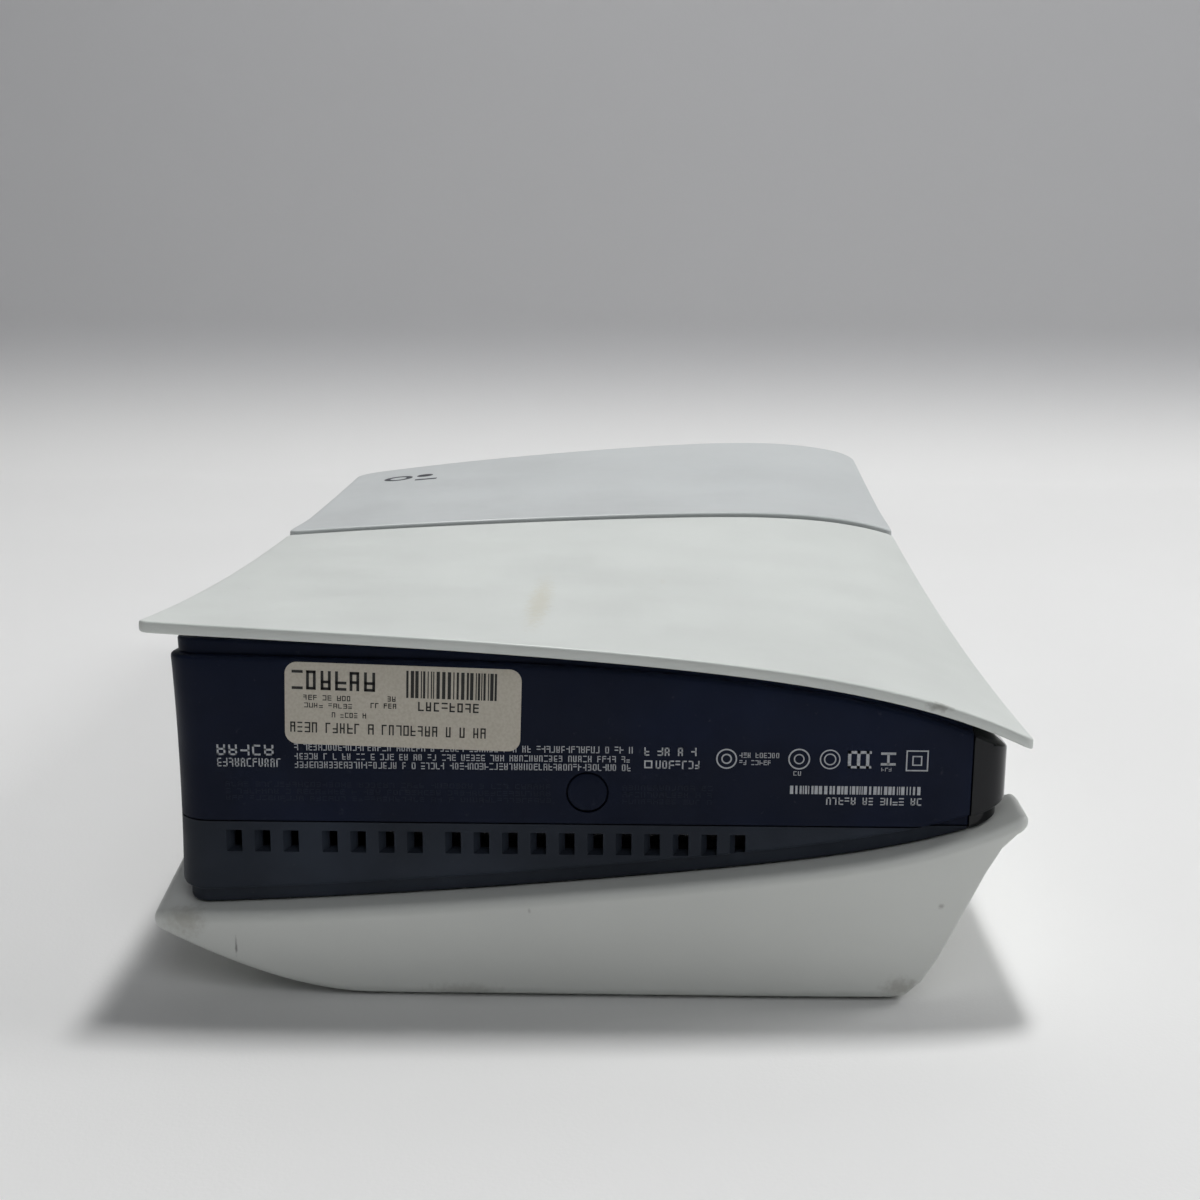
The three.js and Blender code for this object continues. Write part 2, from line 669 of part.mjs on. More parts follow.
// The fins across the exhaust opening, joined by two rails.
function exhaustGrille() {
  const frame = 1.4;
  const xs = [EXHAUST_X[0] + FIT, EXHAUST_X[1] - FIT];
  const zs = [EXHAUST_Z[0] + FIT, EXHAUST_Z[1] - FIT];
  const ys = [HOUSING_REAR - HOUSING_WALL - 1.6, HOUSING_REAR - 0.6];
  const window = block(
    [xs[0] + frame, xs[1] - frame],
    [ys[0] - 1, ys[1] + 1],
    [zs[0] + frame, zs[1] - frame],
  );
  const pitch = 7;
  const count = Math.floor((xs[1] - xs[0]) / pitch) - 1;
  const fins = Array.from({ length: count }, (_, i) => {
    const x = xs[0] + (i + 1) * pitch;
    return block([x - 0.7, x + 0.7], ys, [zs[0] + frame / 2, zs[1] - frame / 2]);
  });
  return joined([block(xs, ys, zs).subtract(window), ...fins]);
}

// ---------------------------------------------------------------- stand end

function standCap() {
  const disc = rod([HOUSING_END + 0.1, 0, CAP_HEIGHT], [1, 0, 0], CAP_RADIUS, CAP_THICK, 32);
  const thumbSlot = block(
    [HOUSING_END - 1, HOUSING_END + 0.5],
    [-0.5, 0.5],
    [CAP_HEIGHT - CAP_RADIUS - 1, CAP_HEIGHT - CAP_RADIUS + 1],
  );
  return disc.subtract(thumbSlot);
}

function threadInsert() {
  const start = HOUSING_END + CAP_THICK + 2 * TOUCH + 0.2;
  const centre = [start, 0, CAP_HEIGHT];
  return ring(centre, [1, 0, 0], INSERT_RADIUS, INSERT_BORE, INSERT_LENGTH, 20);
}

// ---------------------------------------------------------------- disc drive

const DRIVE_X = [fromEnd(DRIVE_FROM_END), fromEnd(DRIVE_FROM_END + DRIVE_LENGTH)];
const DRIVE_Y = [fromFront(DRIVE_FROM_FRONT), fromFront(DRIVE_FROM_FRONT + DRIVE_WIDTH)];
const DRIVE_LOW = DRIVE_TOP - DRIVE_HEIGHT;
const SPINDLE = [driveMiddle(), DRIVE_Y[0] + DISC_RADIUS + 13];
const ROLLER_Y = DRIVE_Y[0] + 7;
const LID_THICK = 1;
const SLED_LENGTH = 16;
const SLED_X = SPINDLE[0] + 16; // the sled's near face with the lens at the disc's first track

function driveChassis() {
  const top = DRIVE_TOP - LID_THICK - TOUCH;
  const body = block(DRIVE_X, DRIVE_Y, [DRIVE_LOW, top]);
  const hollow = block(
    [DRIVE_X[0] + DRIVE_WALL, DRIVE_X[1] - DRIVE_WALL],
    [DRIVE_Y[0] + DRIVE_WALL, DRIVE_Y[1] - DRIVE_WALL],
    [DRIVE_LOW + DRIVE_WALL, 200],
  );
  const slot = block(
    [driveMiddle() - DISC_SLOT / 2, driveMiddle() + DISC_SLOT / 2],
    [DRIVE_Y[0] - 1, DRIVE_Y[0] + 2],
    [DISC_PLANE - DISC_SLOT_HEIGHT / 2, DISC_PLANE + DISC_SLOT_HEIGHT / 2],
  );
  return body.subtract(hollow).subtract(slot);
}

function driveLid() {
  return block(DRIVE_X, DRIVE_Y, [DRIVE_TOP - LID_THICK, DRIVE_TOP]);
}

// The black bar with the slot that discs go through.
function slotBezel() {
  const bar = block(
    [driveMiddle() - BEZEL_LENGTH / 2, driveMiddle() + BEZEL_LENGTH / 2],
    [HOUSING_FRONT - 0.4, DRIVE_Y[0] - TOUCH],
    [BEZEL_LOW, BEZEL_HIGH],
  );
  const slot = block(
    [driveMiddle() - DISC_SLOT / 2, driveMiddle() + DISC_SLOT / 2],
    [-DEPTH, DEPTH],
    [DISC_PLANE - DISC_SLOT_HEIGHT / 2, DISC_PLANE + DISC_SLOT_HEIGHT / 2],
  );
  return bar.subtract(slot);
}

const TABLE_LOW = DISC_PLANE - 3.6;
function turntable() {
  const low = [...SPINDLE, TABLE_LOW];
  const dish = rod(low, [0, 0, 1], 15, 2.4, 28);
  const nose = rod([...SPINDLE, TABLE_LOW + 2], [0, 0, 1], 7.2, 2.6, 20);
  const shaft = rod([...SPINDLE, DRIVE_LOW + 8], [0, 0, 1], 1.5, TABLE_LOW - DRIVE_LOW - 7, 12);
  return joined([dish, nose, shaft]);
}

function discClamp() {
  return rod([...SPINDLE, DISC_PLANE + 1.2], [0, 0, 1], 13, 1, 24);
}

function spindleMotor() {
  const low = DRIVE_LOW + DRIVE_WALL + TOUCH;
  return ring([...SPINDLE, low], [0, 0, 1], 14, 1.9, TABLE_LOW - low - 0.8, 24);
}

function feedRoller() {
  const half = DISC_SLOT / 2 - 3;
  const start = [driveMiddle() - half, ROLLER_Y, DISC_PLANE - 4.4];
  const core = rod([start[0] - 4, start[1], start[2]], [1, 0, 0], 1.2, 2 * half + 8, 10);
  return rod(start, [1, 0, 0], 3, 2 * half, 16).add(core);
}

const SLED_LOW = TABLE_LOW - 13;
const RAIL_OFFSETS = [-21, 21];
const SCREW_OFFSET = -13;
function laserSled() {
  const length = SLED_LENGTH;
  const carriage = block(
    [SLED_X, SLED_X + length],
    [SPINDLE[1] - 26, SPINDLE[1] + 26],
    [SLED_LOW, SLED_LOW + 8],
  );
  const lens = rod([SLED_X + length / 2, SPINDLE[1], SLED_LOW + 7], [0, 0, 1], 3.5, 5, 16);
  const through = [SLED_X - 2, SPINDLE[1], SLED_LOW + 4];
  const bores = [...RAIL_OFFSETS, SCREW_OFFSET].map((shift) =>
    rod([through[0], through[1] + shift, through[2]], [1, 0, 0], 1.5 + TOUCH, length + 4, 14),
  );
  return cutBy(carriage.add(lens), bores);
}

const RAIL_SPAN = [SLED_X - 5, SLED_X + 52];
function guideRail(shift) {
  const start = [RAIL_SPAN[0], SPINDLE[1] + shift, SLED_LOW + 4];
  return rod(start, [1, 0, 0], 1.5, RAIL_SPAN[1] - RAIL_SPAN[0], 12);
}

function sledMotor() {
  const start = [RAIL_SPAN[1] + TOUCH, SPINDLE[1] + SCREW_OFFSET, SLED_LOW + 4];
  return rod(start, [1, 0, 0], 5, 9, 16);
}

// ---------------------------------------------------------------- boards and cooling

function motherboard() {
  const sides = [BOARD_LOW, BOARD_TOP];
  const main = block(BOARD_X, BOARD_Y, sides);
  const leg = block([fromEnd(35), BOARD_X[0] + 5], [SUPPLY_Y[1] + 2, BOARD_Y[1]], sides);
  return main.add(leg);
}

const PROCESSOR_X = (SINK_X[0] + SINK_X[1]) / 2;
const PROCESSOR_Y = (SINK_Y[0] + SINK_Y[1]) / 2;
const PROCESSOR_HALF = 21;
const SINK_LOW = BOARD_TOP + 2 + 2 * TOUCH;

function processor() {
  const half = PROCESSOR_HALF;
  return block(
    [PROCESSOR_X - half, PROCESSOR_X + half],
    [PROCESSOR_Y - half, PROCESSOR_Y + half],
    [BOARD_TOP + TOUCH, SINK_LOW - TOUCH],
  );
}

// The heat sink: a base plate with bores for the heat pipes, and fins that run front to rear.
function heatsink() {
  const base = block(SINK_X, SINK_Y, [SINK_LOW, SINK_LOW + SINK_BASE]);
  const pitch = (SINK_LENGTH - FIN_THICK) / (FIN_COUNT - 1);
  const fins = Array.from({ length: FIN_COUNT }, (_, i) =>
    block(
      [SINK_X[0] + i * pitch, SINK_X[0] + i * pitch + FIN_THICK],
      SINK_Y,
      [SINK_LOW + SINK_BASE - 0.5, SINK_LOW + SINK_HEIGHT],
    ),
  );
  const holes = pipePlaces().map((y) =>
    rod([SINK_X[0] - 5, y, pipeHeight()], [1, 0, 0], PIPE_RADIUS + TOUCH, SINK_LENGTH + 10, 12),
  );
  return cutBy(joined([base, ...fins]), holes);
}

const pipeHeight = () => SINK_LOW + SINK_BASE / 2;
const pipePlaces = () => [-38, 0, 38].map((shift) => PROCESSOR_Y + shift);

function heatPipe(y) {
  return rod([SINK_X[0] - 2, y, pipeHeight()], [1, 0, 0], PIPE_RADIUS, SINK_LENGTH + 4, 12);
}

function powerSupply() {
  const low = DRIVE_TOP + SHIELD_THICK + 2 * TOUCH;
  const box = block(SUPPLY_X, SUPPLY_Y, [low, low + SUPPLY_HEIGHT]);
  const vents = steps(SUPPLY_Y[0] + 10, SUPPLY_Y[1] - 10, 8).map((y) =>
    block(
      [SUPPLY_X[0] + 8, SUPPLY_X[1] - 8],
      [y - 1.5, y + 1.5],
      [low + SUPPLY_HEIGHT - 1, low + SUPPLY_HEIGHT + 1],
    ),
  );
  return cutBy(box, vents);
}

function storageModule() {
  const low = BOARD_TOP + 2;
  const y = (HATCH_Y[0] + HATCH_Y[1]) / 2;
  return block([HATCH_X[0] + 2, HATCH_X[0] + 82], [y - 11, y + 11], [low, low + 1]);
}

// A piece of the housing's own top wall, inside an upright prism.
const topWall = housingShell.intersect(block(WIDE, WIDE, [MIDDLE + 8, 200]));

function storageHatch() {
  const screw = rod([...HATCH_SCREW, 50], [0, 0, 1], 1.6 + TOUCH, 60, 14);
  return topWall.intersect(hatchPrism(0)).subtract(screw);
}

const HATCH_SCREW = [HATCH_X[1] - 5, HATCH_Y[1] - 5];
function hatchScrew() {
  const top = housingTop(...HATCH_SCREW);
  return rod([...HATCH_SCREW, top - 6], [0, 0, 1], 1.6, 5.6, 12);
}

function coinCell() {
  return rod([BOARD_X[1] - 14, BOARD_Y[0] + 14, BOARD_TOP + TOUCH], [0, 0, 1], 10, 3.2, 24);
}

function wirelessModule() {
  const x = BOARD_X[1] - 30;
  return block([x - 16, x], [BOARD_Y[0] + 2, BOARD_Y[0] + 14], [BOARD_TOP + TOUCH, BOARD_TOP + 2.6]);
}

function shieldPlate() {
  const low = DRIVE_TOP + TOUCH;
  return block(
    [SUPPLY_X[0], BOARD_X[1]],
    [TRIM_BACK + 2, HOUSING_REAR - HOUSING_WALL - STEP_INSET - 1],
    [low, low + SHIELD_THICK],
  );
}

// ---------------------------------------------------------------- fan

const FAN_TOP = FAN_BASE + 2 + FAN_HEIGHT;

// The open snail-shell case that the fan turns in, with its outlet towards the heat sink.
function fanShroud() {
  const outer = FAN_RADIUS + FAN_CLEARANCE + 1.6;
  const height = FAN_TOP - FAN_BASE + 1;
  const drum = rod([...FAN_CENTRE, FAN_BASE], [0, 0, 1], outer, height, 40);
  const throatX = [FAN_CENTRE[0] - outer + 2, FAN_CENTRE[0]];
  const throatY = [-outer * 0.72, outer * 0.72];
  const throat = block(throatX, throatY, [FAN_BASE, FAN_BASE + height]);
  const hollow = rod([...FAN_CENTRE, FAN_BASE + 1.6], [0, 0, 1], FAN_RADIUS + FAN_CLEARANCE, 60, 40);
  const outlet = block([throatX[0] - 5, throatX[1]], throatY.map((y) => y * 0.95), [
    FAN_BASE + 1.6,
    FAN_BASE + height + 5,
  ]);
  const shaftHole = rod([...FAN_CENTRE, FAN_BASE - 5], [0, 0, 1], 6, 20, 20);
  return cutBy(drum.add(throat), [hollow, outlet, shaftHole]);
}

function fanRotor() {
  const low = FAN_BASE + 3.4;
  const bore = 9;
  const dish = ring([...FAN_CENTRE, low], [0, 0, 1], FAN_RADIUS, bore, 1.4, 32);
  const hub = ring([...FAN_CENTRE, low], [0, 0, 1], FAN_HUB, bore, FAN_HEIGHT - 6, 24);
  const cap = rod([...FAN_CENTRE, low + FAN_HEIGHT - 7], [0, 0, 1], FAN_HUB, 1.4, 24);
  const blades = Array.from({ length: FAN_BLADES }, (_, i) => {
    const blade = new THREE.BoxGeometry(FAN_RADIUS - FAN_HUB - 8, 1.3, FAN_HEIGHT - 4);
    blade.translate((FAN_RADIUS - FAN_HUB - 8) / 2, 0, 0);
    blade.rotateZ(0.5);
    blade.translate(FAN_HUB + 6, 0, low + (FAN_HEIGHT - 4) / 2 + 0.7);
    blade.rotateZ((2 * Math.PI * i) / FAN_BLADES);
    blade.translate(...FAN_CENTRE, 0);
    return solid(blade);
  });
  return joined([dish, hub, cap, ...blades]);
}

function fanMotor() {
  const low = FAN_BASE - 1.6;
  const foot = rod([...FAN_CENTRE, low], [0, 0, 1], 5.5, 6, 16);
  const stator = rod([...FAN_CENTRE, low + 5.2], [0, 0, 1], 8, FAN_HEIGHT - 10, 20);
  return foot.add(stator);
}

// The guard in the fan's intake: rings joined by spokes, just over the shroud.
function fanGuard() {
  const low = FAN_TOP + 1 + TOUCH;
  const thick = 1.6;
  const rim = 2.4;
  const rings = [1, 0.68, 0.36].map((share) => {
    const radius = FAN_RADIUS * share;
    return ring([...FAN_CENTRE, low], [0, 0, 1], radius, radius - rim, thick, 20);
  });
  const spokes = [0, 1, 2, 3].map((i) => {
    const bar = new THREE.BoxGeometry(2 * FAN_RADIUS - rim, rim, thick - 0.2);
    bar.rotateZ((Math.PI * i) / 4 + 0.2);
    bar.translate(...FAN_CENTRE, low + thick / 2);
    return solid(bar);
  });
  return joined([...rings, ...spokes]);
}

// ---------------------------------------------------------------- assembly

const FINISHES = {
  cover: { color: 0xe6e8e6, roughness: 0.45, metalness: 0 },
  housing: { color: 0x1a1c20, roughness: 0.55, metalness: 0 },
  trim: { color: 0x0c0d11, roughness: 0.12, metalness: 0 },
  button: { color: 0x202226, roughness: 0.4, metalness: 0 },
  rubber: { color: 0x1c1d1f, roughness: 0.8, metalness: 0 },
  steel: { color: 0xb4b6b8, roughness: 0.35, metalness: 1 },
  board: { color: 0x123a2a, roughness: 0.6, metalness: 0 },
  copper: { color: 0xb87040, roughness: 0.3, metalness: 1 },
  aluminium: { color: 0xc8cacc, roughness: 0.4, metalness: 1 },
  brass: { color: 0xb59a50, roughness: 0.35, metalness: 1 },
};
const materials = Object.fromEntries(
  Object.entries(FINISHES).map(([name, look]) => [name, new THREE.MeshStandardMaterial(look)]),
);

const consoleUnit = new THREE.Group();
function place(name, finish, body) {
  const mesh = new THREE.Mesh(geometryOf(body), materials[finish]);
  mesh.name = name;
  consoleUnit.add(mesh);
}

const [upperMain, upperSmall] = upperCovers();
place("upper_cover_main", "cover", upperMain);
place("upper_cover_small", "cover", upperSmall);
place("lower_cover_main", "cover", mainLowerCover());
place("lower_cover_small", "cover", smallLowerCover());
place("upper_housing", "housing", upperHousing());
place("lower_housing", "housing", lowerHousing());
place("front_trim", "trim", frontTrim());
place("power_button", "button", button(POWER_FROM_END));
place("eject_button", "button", button(EJECT_FROM_END));
USB_C_FROM_END.forEach((end, i) => place(`usb_c_port_${i + 1}`, "steel", usbC(end)));
for (const socket of SOCKETS)
  place(socket.name, socket.name === "mains_inlet" ? "housing" : "steel", rearSocket(socket));
place("exhaust_grille", "housing", exhaustGrille());
place("stand_hole_cap", "housing", standCap());
place("stand_thread_insert", "brass", threadInsert());
place("drive_chassis", "steel", driveChassis());
place("drive_lid", "steel", driveLid());
place("disc_slot_bezel", "trim", slotBezel());
place("turntable", "button", turntable());
place("disc_clamp", "button", discClamp());
place("spindle_motor", "steel", spindleMotor());
place("feed_roller", "rubber", feedRoller());
place("laser_sled", "button", laserSled());
RAIL_OFFSETS.forEach((shift, i) => place(`guide_rail_${i + 1}`, "steel", guideRail(shift)));
place("lead_screw", "brass", guideRail(SCREW_OFFSET));
place("sled_motor", "steel", sledMotor());
place("motherboard", "board", motherboard());
place("processor", "steel", processor());
place("heatsink", "aluminium", heatsink());
pipePlaces().forEach((y, i) => place(`heat_pipe_${i + 1}`, "copper", heatPipe(y)));
place("power_supply", "steel", powerSupply());
place("storage_module", "board", storageModule());
place("storage_hatch", "housing", storageHatch());
place("hatch_screw", "steel", hatchScrew());
place("coin_cell", "steel", coinCell());
place("wireless_module", "steel", wirelessModule());
place("shield_plate", "steel", shieldPlate());
place("fan_shroud", "housing", fanShroud());
place("fan_rotor", "button", fanRotor());
place("fan_motor", "steel", fanMotor());
place("fan_guard", "housing", fanGuard());

export default consoleUnit;
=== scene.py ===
import math

import bpy
import numpy as np
from mathutils import Matrix, Vector


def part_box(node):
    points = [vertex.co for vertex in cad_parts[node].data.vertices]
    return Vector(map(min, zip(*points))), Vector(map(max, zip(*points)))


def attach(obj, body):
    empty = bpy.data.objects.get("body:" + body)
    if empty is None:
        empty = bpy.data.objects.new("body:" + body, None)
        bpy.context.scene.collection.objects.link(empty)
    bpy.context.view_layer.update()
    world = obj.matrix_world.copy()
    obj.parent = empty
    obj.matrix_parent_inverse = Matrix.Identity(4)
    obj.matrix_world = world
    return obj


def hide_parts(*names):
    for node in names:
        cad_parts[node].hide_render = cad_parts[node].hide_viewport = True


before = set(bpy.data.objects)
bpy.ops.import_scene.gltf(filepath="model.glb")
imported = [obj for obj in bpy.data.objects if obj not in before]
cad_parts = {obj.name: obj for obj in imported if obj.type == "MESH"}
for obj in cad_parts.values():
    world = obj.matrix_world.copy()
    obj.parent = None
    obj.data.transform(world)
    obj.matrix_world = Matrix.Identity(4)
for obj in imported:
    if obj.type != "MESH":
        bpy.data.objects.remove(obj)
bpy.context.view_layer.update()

# ---------------------------------------------------------------- camera
# The console is seen from beyond its stand end, from a hand's height above the table and a little
# towards the front. Metres and degrees.
camera = bpy.data.objects.new("camera", bpy.data.cameras.new("camera"))
camera.data.lens = 51.94
camera.data.sensor_width = 36
camera.data.clip_end = 20
heading = Matrix.Rotation(math.radians(-89.22), 4, "Z")
pitch = Matrix.Rotation(math.radians(77.04), 4, "X")
roll = Matrix.Rotation(math.radians(0.32), 4, "Z")
camera.matrix_world = Matrix.Translation((-0.5755, -0.0083, 0.1932)) @ heading @ pitch @ roll
bpy.context.scene.collection.objects.link(camera)
bpy.context.scene.camera = camera

# ---------------------------------------------------------------- table and backdrop
# A sheet of pale board that lies flat under the console and sweeps up behind it into a wall. It is
# the studio's, not the console's.
MM = 0.001


def srgb(red, green, blue):
    """A colour from its 0 to 255 screen values: each share of 255 is raised from screen to linear light."""
    shares = np.array([red, green, blue]) / 255
    linear = np.where(shares <= 0.04045, shares / 12.92, ((shares + 0.055) / 1.055) ** 2.4)
    return (*linear.tolist(), 1.0)


def new_material(name, **sockets):
    """A material whose shader has the given values on its own sockets, named with _ for a space."""
    made = bpy.data.materials.new(name)
    made.use_nodes = True
    shader = made.node_tree.nodes["Principled BSDF"]
    for socket, value in sockets.items():
        shader.inputs[socket.replace("_", " ")].default_value = value
    return made


def node(made, kind, settings=None, **sockets):
    """Adds a node to a material. A socket, named with _ for a space, gets a value or is linked to
    another node's output. A trailing number picks one of several sockets of one name."""
    added = made.node_tree.nodes.new("ShaderNode" + kind)
    for setting, value in (settings or {}).items():
        setattr(added, setting, value)
    for socket, value in sockets.items():
        key = int(socket[1:]) if socket[1:].isdigit() else socket.replace("_", " ")
        if isinstance(value, bpy.types.NodeSocket):
            made.node_tree.links.new(value, added.inputs[key])
        else:
            added.inputs[key].default_value = value
    return added


def place(made):
    """Where a point of the piece is, in metres, from the object's own axes."""
    return node(made, "TexCoord").outputs["Object"]


def noise(made, scale, detail=2.0, where=None, roughness=0.5):
    """A cloudy value from 0 to 1 whose lumps are about 1 / scale metres across."""
    at = where or place(made)
    lumps = node(made, "TexNoise", Vector=at, Scale=scale, Detail=detail, Roughness=roughness)
    return lumps.outputs["Fac"]


def calc(made, operation, first, second=0.0, clamp=False):
    """The result of one sum on two values."""
    settings = {"operation": operation, "use_clamp": clamp}
    return node(made, "Math", settings, _0=first, _1=second).outputs[0]


def fade(made, value, start, end, low=0.0, high=1.0):
    """A value that goes smoothly from low to high as another goes from start to end."""
    settings = {"interpolation_type": "SMOOTHSTEP"}
    sockets = {"From Min": start, "From Max": end, "To Min": low, "To Max": high}
    ramp = node(made, "MapRange", settings, Value=value)
    for socket, number in sockets.items():
        ramp.inputs[socket].default_value = number
    return ramp.outputs["Result"]


def blend_colours(made, share, first, second):
    """One colour where share is 0 and the other where it is 1."""
    mixed = node(made, "Mix", {"data_type": "RGBA"}, Factor=share, _6=first, _7=second)
    return mixed.outputs[2]


def set_shader(made, **sockets):
    """Links values to the shader's sockets."""
    shader = made.node_tree.nodes["Principled BSDF"]
    for socket, value in sockets.items():
        made.node_tree.links.new(value, shader.inputs[socket.replace("_", " ")])


def relief(made, height, depth, strength=1.0):
    """Bumps: a height from 0 to 1, depth metres deep at 1, becomes the surface's direction."""
    bumps = node(made, "Bump", Height=height, Distance=depth, Strength=strength)
    set_shader(made, Normal=bumps.outputs["Normal"])


def object_from(name, shapes, finish):
    """One object from closed shapes in millimetres. A shape is its points and its faces' numbers."""
    points = [shape[0] for shape in shapes]
    starts = np.cumsum([0] + [len(each) for each in points])
    faces = [[i + int(start) for i in face] for shape, start in zip(shapes, starts) for face in shape[1]]
    mesh = bpy.data.meshes.new(name)
    mesh.from_pydata((np.vstack(points) * MM).tolist(), [], faces)
    mesh.update()
    mesh.materials.append(finish)
    made = bpy.data.objects.new(name, mesh)
    bpy.context.scene.collection.objects.link(made)
    return made


def backdrop_board():
    """A profile along X carried across Y: flat, a quarter circle of SWEEP radius, then upright."""
    start, wall, sweep, height, half_width = -5200.0, 745.0, 105.0, 2600.0, 4200.0
    turn = np.linspace(0, np.pi / 2, 25)
    bend_x = wall - sweep + sweep * np.sin(turn)
    bend_z = sweep - sweep * np.cos(turn)
    profile_x = np.concatenate([np.linspace(start, wall - sweep, 24)[:-1], bend_x, [wall]])
    profile_z = np.concatenate([np.zeros(23), bend_z, [height]])
    across = np.linspace(-half_width, half_width, 9)
    points = np.stack(
        [
            np.repeat(profile_x, len(across)),
            np.tile(across, len(profile_x)),
            np.repeat(profile_z, len(across)),
        ],
        -1,
    )
    corner = np.arange(len(points)).reshape(len(profile_x), len(across))
    cells = [corner[:-1, :-1], corner[1:, :-1], corner[1:, 1:], corner[:-1, 1:]]
    faces = np.stack(cells, -1).reshape(-1, 4)
    return points, faces.tolist()


def board_paint():
    """Pale paint with a faint mottling, painted greyer on the wall than on the floor: painted shade for the
    dimmer light that reaches the wall.
    """
    made = new_material("board_paint", Roughness=0.7)
    height = node(made, "SeparateXYZ", Vector=place(made)).outputs["Z"]
    # Painted shade: the board turns to a greyer paint as it climbs into the wall.
    wall_shade_share = fade(made, height, 0.0, 0.1)
    sides = blend_colours(made, wall_shade_share, srgb(239, 239, 238), srgb(203, 203, 205))
    cloud = fade(made, noise(made, 3.0, 3.0), 0.3, 0.7, 0.0, 0.06)
    set_shader(made, Base_Color=blend_colours(made, cloud, sides, srgb(196, 194, 192)))
    relief(made, noise(made, 900.0, 2.0), 0.00004)
    return made


backdrop = object_from("backdrop", [backdrop_board()], board_paint())
backdrop.data.shade_smooth()

# ---------------------------------------------------------------- light
# A small strong light over and a little behind the console, so that its near side is in shade, a
# softer one from the front trim's side, and weak soft light from over the stand end. Metres, watts.
world = bpy.data.worlds.new("even_light")
world.use_nodes = True
world.node_tree.nodes["Background"].inputs["Color"].default_value = srgb(226, 230, 238)
world.node_tree.nodes["Background"].inputs["Strength"].default_value = 0.02
bpy.context.scene.world = world
bpy.context.scene.view_settings.view_transform = "Standard"


def panel(name, at, towards, size, power, colour=(1.0, 1.0, 1.0)):
    """A flat soft light at one point that faces another."""
    lamp = bpy.data.lights.new(name, "AREA")
    lamp.shape = "RECTANGLE"
    lamp.size, lamp.size_y = size
    lamp.energy = power
    lamp.color = colour
    made = bpy.data.objects.new(name, lamp)
    direction = np.array(towards) - np.array(at)
    facing = Vector(direction).to_track_quat("-Z", "Y").to_matrix().to_4x4()
    made.matrix_world = Matrix.Translation(at) @ facing
    bpy.context.scene.collection.objects.link(made)
    return made


panel("ceiling_light", (0.27, -0.12, 1.8), (0.0, 0.0, 0.0), (0.16, 0.3), 17.5)
panel("window_light", (0.55, -2.3, 1.95), (0.0, 0.0, 0.05), (0.9, 0.8), 26.0)
panel("soft_light", (-1.2, -0.3, 1.4), (-0.18, 0.0, 0.05), (0.9, 1.4), 5.8, (0.96, 0.98, 1.0))

# ---------------------------------------------------------------- lower main cover
# The cover on the disc side, injection moulded in white plastic. Its skin leaves the crown to make
# the flat-bottomed bulge over the disc drive, and a flange inside its rim holds the housing.
MIDDLE = 56.0  # height of the plane that the covers mirror about
CROWN_NET = np.array(
    [
        [39.6, 37.0, 33.0, 21.5],
        [24.0, 27.0, 24.0, 16.5],
        [22.0, 25.5, 24.0, 26.0],
        [19.5, 30.0, 34.5, 39.5],
    ]
)  # skin heights over the middle plane: rear to front in a row, stand end to vent end by rows
FRONT_DROOP = 10.0  # how far the crown falls at the front edge
LOWER_LIFT = 2.4  # how much flatter the lower skin is at the stand end
END_BOW = 3.5  # how far the stand end's corners sweep back
BOW_REACH = 70.0
SEAM_GAP = 1.6
COVER_WALL = 3.0
PAD_HEIGHT = 0.6
REAR_RUN, FRONT_RUN, SEAM_RUN = 55.0, 28.0, 20.0  # the bulge gets to its full depth over these
RIM = 3.8  # height of the rim over the skin
LIP = 2.5  # radius of the rim's outer edge
FLANGE = 12.0  # width of the flange inside the rim


def extent(name):
    """The lowest and the highest corner of a CAD node, in millimetres."""
    low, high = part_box(name)
    return np.array(low) / MM, np.array(high) / MM


NEAR, FRONT = extent("lower_cover_main")[0][:2]
REAR = extent("lower_cover_main")[1][1]
FAR = extent("upper_cover_small")[1][0]
SEAM_FRONT = extent("upper_cover_main")[1][0] + SEAM_GAP / 2
SEAM_REAR = extent("upper_cover_small")[0][0] - SEAM_GAP / 2
SLOT_ENDS = extent("disc_slot_bezel")[0][0], extent("disc_slot_bezel")[1][0]
SLOT_LOW = extent("disc_slot_bezel")[0][2]


def smooth(value):
    """0 below 0, 1 above 1, and an S curve between: 3v squared less 2v cubed."""
    value = np.clip(value, 0, 1)
    return value * value * (3 - 2 * value)


def crown(x, y):
    """Height of the covers' skin over the middle plane: the sum of the net's heights, each weighted
    by cubic Bernstein shares along and across, less a droop that grows with the eighth power."""
    across = np.clip((REAR - y) / (REAR - FRONT), 0, 1)
    along = np.clip((x - NEAR) / (FAR - NEAR), 0, 1)
    height = -FRONT_DROOP * across**8
    for row in range(4):
        for column in range(4):
            share = math.comb(3, row) * along**row * (1 - along) ** (3 - row)
            share = share * math.comb(3, column) * across**column * (1 - across) ** (3 - column)
            height = height + CROWN_NET[row, column] * share
    return height


def lower_skin(x, y):
    """The lower covers' outer face: the crown turned over, a little flatter at the stand end."""
    across = np.clip((REAR - y) / (REAR - FRONT), 0, 1)
    along = np.clip((x - NEAR) / (FAR - NEAR), 0, 1)
    return MIDDLE - crown(x, y) + LOWER_LIFT * (1 - along) * np.sin(np.pi * across**1.6)


def seam_at(y):
    """X of the middle of the slanted seam, along a straight line from the rear to the front."""
    return SEAM_REAR + (SEAM_FRONT - SEAM_REAR) * (REAR - y) / (REAR - FRONT)


def bulge(x, y):
    """1 on the flat underside and 0 at the rim: a sine at the rear, and S curves at front and seam."""
    rear = np.sin(np.pi / 2 * np.clip((REAR - y) / REAR_RUN, 0, 1))
    front = smooth((y - FRONT - 3) / FRONT_RUN)
    far = smooth((seam_at(y) - x - 4) / SEAM_RUN)
    return rear * front * far


